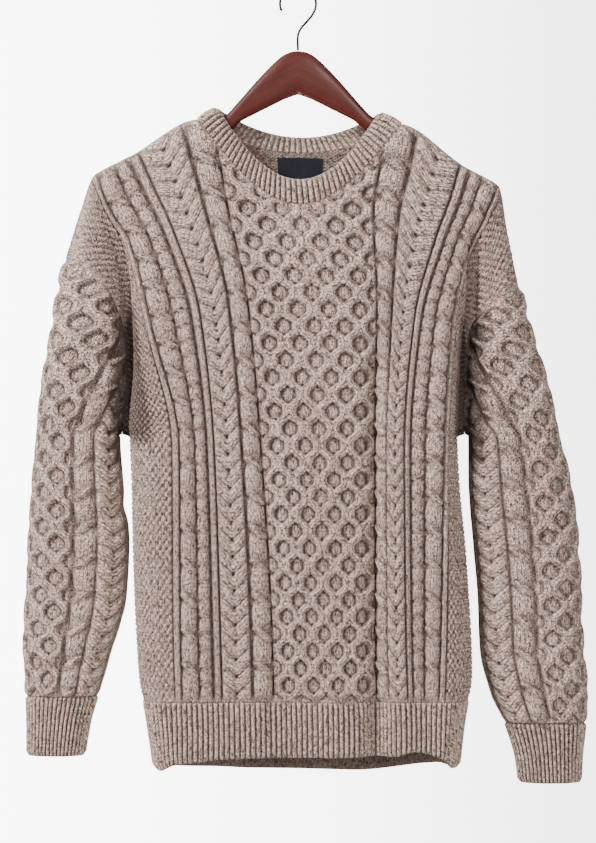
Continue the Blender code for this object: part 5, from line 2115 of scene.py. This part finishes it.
@dataclass(frozen=True)
class WoodFinish:
    """Lacquered mahogany with grain along the arms and worn edges under the middle."""
    light: tuple = (0.080, 0.0125, 0.0075, 1.0)
    dark: tuple = (0.050, 0.0075, 0.005, 1.0)
    worn: tuple = (0.36, 0.17, 0.10, 1.0)
    grain: tuple = (14.0, 120.0, 260.0)
    pores: tuple = (90.0, 700.0, 1400.0)
    pore_share: float = 0.4
    arm_slope: float = 0.50
    apex_near: float = 0.02
    apex_far: float = 0.05
    foot_level: float = -0.1145
    foot_soft: float = 0.002
    rub_scale: float = 240.0
    rub_share: float = 0.9
    patch_scale: float = 45.0
    roughness: float = 0.40
    smoother: float = 0.06
    rougher: float = 0.12
    specular: float = 0.24
    coat: float = 0.05
    coat_roughness: float = 0.18
    grain_bump: float = 0.00003

    def material(self) -> Material:
        """Builds the finish.

        Returns:
            The material.
        """
        made, graph, shader = new_material("mahogany")
        place = graph.place()
        x, y, z = graph.split(place)
        slant = graph.add(z, graph.times(graph.size(x), self.arm_slope))
        grain, pores = (graph.noise(graph.join(*(graph.times(*pair) for pair in zip((x, y, slant), scales))),
                                    1.0, detail, rough)
                        for scales, detail, rough in ((self.grain, 5.0, 0.6), (self.pores, 2.0, 0.5)))
        colour = graph.mix(graph.remap(grain, 0.35, 0.68, 0.0, 1.0), self.dark, self.light)
        colour = graph.mix(graph.remap(pores, 0.62, 0.74, 0.0, self.pore_share), colour, self.dark)
        apex = graph.remap(graph.size(x), self.apex_near, self.apex_far, 1.0, 0.0)
        foot = graph.remap(slant, self.foot_level, self.foot_level + self.foot_soft, 1.0, 0.0)
        rub = graph.remap(graph.noise(place, self.rub_scale, 3.0), 0.42, 0.60, 0.0, self.rub_share)
        colour = graph.mix(graph.times(graph.times(apex, foot), rub), colour, self.worn)
        patch = graph.noise(place, self.patch_scale, 3.0)
        low, high = self.roughness - self.smoother, self.roughness + self.rougher
        graph.fill(shader, {
            "Base Color": colour,
            "Roughness": graph.remap(patch, 0.3, 0.7, low, high),
            "Specular IOR Level": self.specular,
            "Coat Weight": self.coat,
            "Coat Roughness": self.coat_roughness,
            "Normal": graph.bump(graph.add(grain, pores), self.grain_bump),
        })
        return made


@dataclass(frozen=True)
class WireFinish:
    """Black painted wire with fine scratches."""
    paint: tuple = (0.011, 0.011, 0.012, 1.0)
    scratch: tuple = (0.09, 0.085, 0.08, 1.0)
    speck_scale: float = 800.0
    scratch_share: float = 0.5
    metallic: float = 0.55
    smooth: float = 0.26
    rough: float = 0.42

    def material(self) -> Material:
        """Builds the finish.

        Returns:
            The material.
        """
        made, graph, shader = new_material("black_wire")
        speck = graph.noise(graph.place(), self.speck_scale, 3.0)
        bare = graph.remap(speck, 0.62, 0.72, 0.0, self.scratch_share)
        graph.fill(shader, {
            "Base Color": graph.mix(bare, self.paint, self.scratch),
            "Metallic": self.metallic,
            "Roughness": graph.remap(speck, 0.3, 0.7, self.smooth, self.rough),
        })
        return made


@dataclass(frozen=True)
class LabelFinish:
    """A densely woven label with a plain face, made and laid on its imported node."""
    node: str
    name: str
    colour: tuple
    threads: float = 1600.0
    brighter: float = 1.5
    least_bright: float = 0.004
    weave_share: float = 0.3
    speck_scale: float = 500.0
    roughness: float = 0.62
    specular: float = 0.2
    weave_bump: float = 0.00015

    def material(self) -> Material:
        """Builds the finish.

        Returns:
            The material.
        """
        made, graph, shader = new_material(self.name)
        place = graph.place()
        x, _, z = graph.split(place)
        threads = [graph.times(line, self.threads * math.pi) for line in (z, graph.add(x, z))]
        weave = graph.times(*(graph.math("SINE", thread) for thread in threads))
        bright = tuple(value * self.brighter + self.least_bright for value in self.colour[:3]) + (1.0,)
        shade = graph.add(graph.times(weave, self.weave_share), graph.noise(place, self.speck_scale, 3.0))
        graph.fill(shader, {
            "Base Color": graph.mix(graph.remap(shade, 0.2, 0.9, 0.0, 1.0), self.colour, bright),
            "Roughness": self.roughness,
            "Specular IOR Level": self.specular,
            "Normal": graph.bump(weave, self.weave_bump),
        })
        return made

    def dress(self, frame: dict) -> None:
        """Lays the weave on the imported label."""
        frame["nodes"][self.node].data.materials[0] = self.material()


LABELS = (
    LabelFinish("neck_label", "label_navy", (0.006, 0.0085, 0.013, 1.0)),
    LabelFinish("size_tab", "tab_black", (0.008, 0.008, 0.009, 1.0)),
)


@dataclass(frozen=True)
class PlainFinish:
    """Two close colours mixed by noise, for the loose fibres and the floor."""
    name: str
    first: tuple
    second: tuple
    scale: float
    detail: float
    roughness: float

    def material(self) -> Material:
        """Builds the finish.

        Returns:
            The material.
        """
        made, graph, shader = new_material(self.name)
        cloud = graph.noise(graph.place(), self.scale, self.detail)
        colour = graph.mix(cloud, self.first, self.second)
        graph.fill(shader, {"Base Color": colour, "Roughness": self.roughness})
        return made


FIBRE_FINISH = PlainFinish("wool_fibre", (0.72, 0.62, 0.55, 1.0), (0.45, 0.35, 0.29, 1.0), 300.0, 2.0, 0.8)
FLOOR_FINISH = PlainFinish("pale_floor", (0.78, 0.77, 0.75, 1.0), (0.83, 0.82, 0.80, 1.0), 6.0, 3.0, 0.85)


@dataclass(frozen=True)
class Lamp:
    """A soft square lamp: where it hangs, what it points at, its side, power and colour."""
    name: str
    place: tuple
    aim: tuple
    size: float
    watts: float
    colour: tuple

    def hang(self) -> None:
        """Adds the lamp to the scene."""
        data = bpy.data.lights.new(self.name, "AREA")
        data.size, data.energy, data.color = self.size, self.watts, self.colour
        lamp = bpy.data.objects.new(self.name, data)
        lamp.location = self.place
        lamp.rotation_euler = (Vector(self.aim) - Vector(self.place)).to_track_quat("-Z", "Y").to_euler()
        bpy.context.collection.objects.link(lamp)


LAMPS = (
    Lamp("window", (-1.9, -1.35, 1.0), (0.02, 0.0, -0.35), 0.75, 138.0, (1.0, 0.98, 0.955)),
    Lamp("fill", (1.0, -2.3, 0.7), (0.05, 0.0, -0.40), 1.1, 56.0, (1.0, 0.98, 0.96)),
)


@dataclass(frozen=True)
class Studio:
    """The camera, the pale room round the garment and the floor below it."""
    camera_distance: float = 3.0
    camera_level: float = -0.4693
    camera_clip: float = 50.0
    view_height: float = 0.9105
    sensor_height: float = 24.0
    floor_level: float = -1.32
    floor_half: float = 1.1
    room: tuple = (0.97, 0.965, 0.955, 1.0)
    room_left: float = 0.85
    room_right: float = 0.28
    room_below: float = 0.30
    wall_start: float = 0.95
    wall_full: float = 0.975
    wall_half: float = 0.11
    wall_left: float = 10.0
    wall_right: float = 4.4

    def place_camera(self) -> None:
        """Places the camera where the photograph was taken from."""
        data = bpy.data.cameras.new("camera")
        data.sensor_fit = "VERTICAL"
        data.sensor_height = self.sensor_height
        data.lens = self.sensor_height * self.camera_distance / self.view_height
        data.clip_end = self.camera_clip
        camera = bpy.data.objects.new("camera", data)
        camera.location = (0.0, -self.camera_distance, self.camera_level)
        camera.rotation_euler = (math.pi / 2, 0.0, 0.0)
        bpy.context.collection.objects.link(camera)
        bpy.context.scene.camera = camera

    def paint_room(self) -> None:
        """A pale room, darker to the right and below, with a bright wall only straight behind."""
        world = bpy.data.worlds.new("room")
        bpy.context.scene.world = world
        world.use_nodes = True
        graph = Graph(world.node_tree)
        x, y, z = graph.split(graph.place("Generated"))
        side = graph.remap(x, -0.9, 0.7, self.room_left, self.room_right)
        around = graph.times(side, graph.remap(z, -0.9, 0.5, self.room_below, 1.0))
        behind = graph.remap(y, self.wall_start, self.wall_full, 0.0, 1.0)
        wall = graph.remap(x, -self.wall_half, self.wall_half, self.wall_left, self.wall_right)
        strength = graph.blend(behind, around, wall)
        graph.fill(world.node_tree.nodes["Background"], {"Color": self.room, "Strength": strength})

    def lay_floor(self) -> None:
        """Lays a plain pale floor below the garment."""
        half = self.floor_half
        corners = ((-half, -half), (half, -half), (half, half), (-half, half))
        points = np.array([(x, y, self.floor_level) for x, y in corners])
        floor = mesh_object("floor", points, [(0, 1, 2, 3)])
        floor.data.materials.append(FLOOR_FINISH.material())

    def build(self) -> None:
        """Sets up the camera, the room, the floor and the lamps."""
        self.place_camera()
        self.paint_room()
        self.lay_floor()
        for lamp in LAMPS:
            lamp.hang()


@dataclass(frozen=True)
class Fuzz:
    """The loose fibres that stand off the wool's raised parts."""
    count_a_metre: float = 60000.0
    top_cavity: float = -0.05
    length: float = 0.0046
    radius: float = 0.00007
    lean: float = 1.15
    seed: int = 11
    sides: int = 3
    shortest: float = 0.4
    longest: float = 1.3

    def tree(self, material: Material) -> bpy.types.NodeTree:
        """Builds the node tree that scatters the fibres over a cloth.

        Args:
            material: The fibres' material.

        Returns:
            The tree.
        """
        tree = bpy.data.node_groups.new("loose_fibres", "GeometryNodeTree")
        graph = Graph(tree)
        tree.interface.new_socket("Cloth", in_out="INPUT", socket_type="NodeSocketGeometry")
        for name in self.sizes():
            tree.interface.new_socket(name, in_out="INPUT", socket_type="NodeSocketFloat")
        tree.interface.new_socket("Fibres", in_out="OUTPUT", socket_type="NodeSocketGeometry")
        given = graph.node("NodeGroupInput").outputs
        raised = graph.node("GeometryNodeInputNamedAttribute", data_type="FLOAT")
        graph.fill(raised, {"Name": "cavity"})
        tops = graph.fill(graph.node("FunctionNodeCompare", data_type="FLOAT", operation="LESS_THAN"),
                          {0: raised.outputs[0], 1: self.top_cavity})
        spread = graph.fill(graph.node("GeometryNodeDistributePointsOnFaces"), {
            "Selection": tops.outputs[0], "Mesh": given["Cloth"],
            "Density": given["Fibres a square metre"], "Seed": self.seed})
        fibre = graph.fill(graph.node("GeometryNodeMeshCone", fill_type="NONE"), {
            "Vertices": self.sides, "Radius Top": 0.0,
            "Radius Bottom": given["Fibre radius"], "Depth": given["Fibre length"]})
        tilt = self.scatter(graph, (-1.0, -1.0, -3.14), (1.0, 1.0, 3.14), 1)
        swing = graph.fill(graph.node("ShaderNodeVectorMath", operation="SCALE"),
                           {0: tilt, "Scale": given["Lean"]})
        turn = graph.fill(graph.node("FunctionNodeRotateEuler", rotation_type="EULER", space="LOCAL"),
                          {"Rotation": spread.outputs["Rotation"], "Rotate By": swing.outputs[0]})
        lengths = self.scatter(graph, (1.0, 1.0, self.shortest), (1.0, 1.0, self.longest), 2)
        place = graph.fill(graph.node("GeometryNodeInstanceOnPoints"), {
            "Points": spread.outputs["Points"], "Instance": fibre.outputs["Mesh"],
            "Rotation": turn.outputs[0], "Scale": lengths})
        real = graph.fill(graph.node("GeometryNodeRealizeInstances"), {0: place.outputs[0]})
        dressed = graph.fill(graph.node("GeometryNodeSetMaterial"),
                             {"Geometry": real.outputs[0], "Material": material})
        graph.feed(graph.node("NodeGroupOutput").inputs["Fibres"], dressed.outputs[0])
        return tree

    def sizes(self) -> dict[str, float]:
        """The tree's named inputs and their values."""
        return {"Fibres a square metre": self.count_a_metre, "Fibre length": self.length,
                "Fibre radius": self.radius, "Lean": self.lean}

    def scatter(self, graph: Graph, low: tuple, high: tuple, step: int) -> Socket:
        """Random vectors, one for each fibre."""
        made = graph.node("FunctionNodeRandomValue", data_type="FLOAT_VECTOR")
        return graph.fill(made, {0: low, 1: high, "Seed": self.seed + step}).outputs[0]

    def make(self, cloth: Object, tree: bpy.types.NodeTree) -> Object:
        """Grows fibres on a cloth and turns them into a plain mesh.

        Args:
            cloth: The cloth that carries them.
            tree: The node tree.

        Returns:
            The object.
        """
        grower = bpy.data.objects.new("grower", cloth.data)
        bpy.context.collection.objects.link(grower)
        modifier = grower.modifiers.new("fibres", "NODES")
        modifier.node_group = tree
        sizes = self.sizes()
        for item in tree.interface.items_tree:
            if item.in_out == "INPUT" and item.name in sizes:
                modifier[item.identifier] = sizes[item.name]
        graph = bpy.context.evaluated_depsgraph_get()
        data = bpy.data.meshes.new_from_object(grower.evaluated_get(graph), depsgraph=graph)
        grower.modifiers.remove(modifier)
        bpy.data.objects.remove(grower)
        data.name = cloth.name + "_fuzz"
        fibres = bpy.data.objects.new(data.name, data)
        bpy.context.collection.objects.link(fibres)
        return fibres

    def dress(self, fibres: Object) -> None:
        """Joins the fibres to the frame."""
        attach(fibres, BODY)


def report(item: Object) -> None:
    """Logs a finished piece and its number of faces."""
    LOG.info("%s: %d faces", item.name, len(item.data.polygons))


def main() -> None:
    """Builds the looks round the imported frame."""
    logging.basicConfig(level=logging.INFO, format="%(message)s")
    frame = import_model()
    Studio().build()
    hanger, hook, fuzz = HangerWood(), WireHook(), Fuzz()
    wood = hanger.make(frame["nodes"][hanger.node])
    hanger.dress(wood, WoodFinish().material())
    wire = hook.make()
    hook.dress(wire, WireFinish().material())
    report(wood)
    report(wire)
    wool = WoolFinish().material()
    tree = fuzz.tree(FIBRE_FINISH.material())
    pieces = Sweater(FINE).pieces()
    for piece, item in zip(pieces, [piece.make() for piece in pieces]):
        piece.dress(item, wool)
        fibres = fuzz.make(item, tree)
        fuzz.dress(fibres)
        report(item)
        report(fibres)
    for label in LABELS:
        label.dress(frame)


if __name__ == "__main__":
    main()
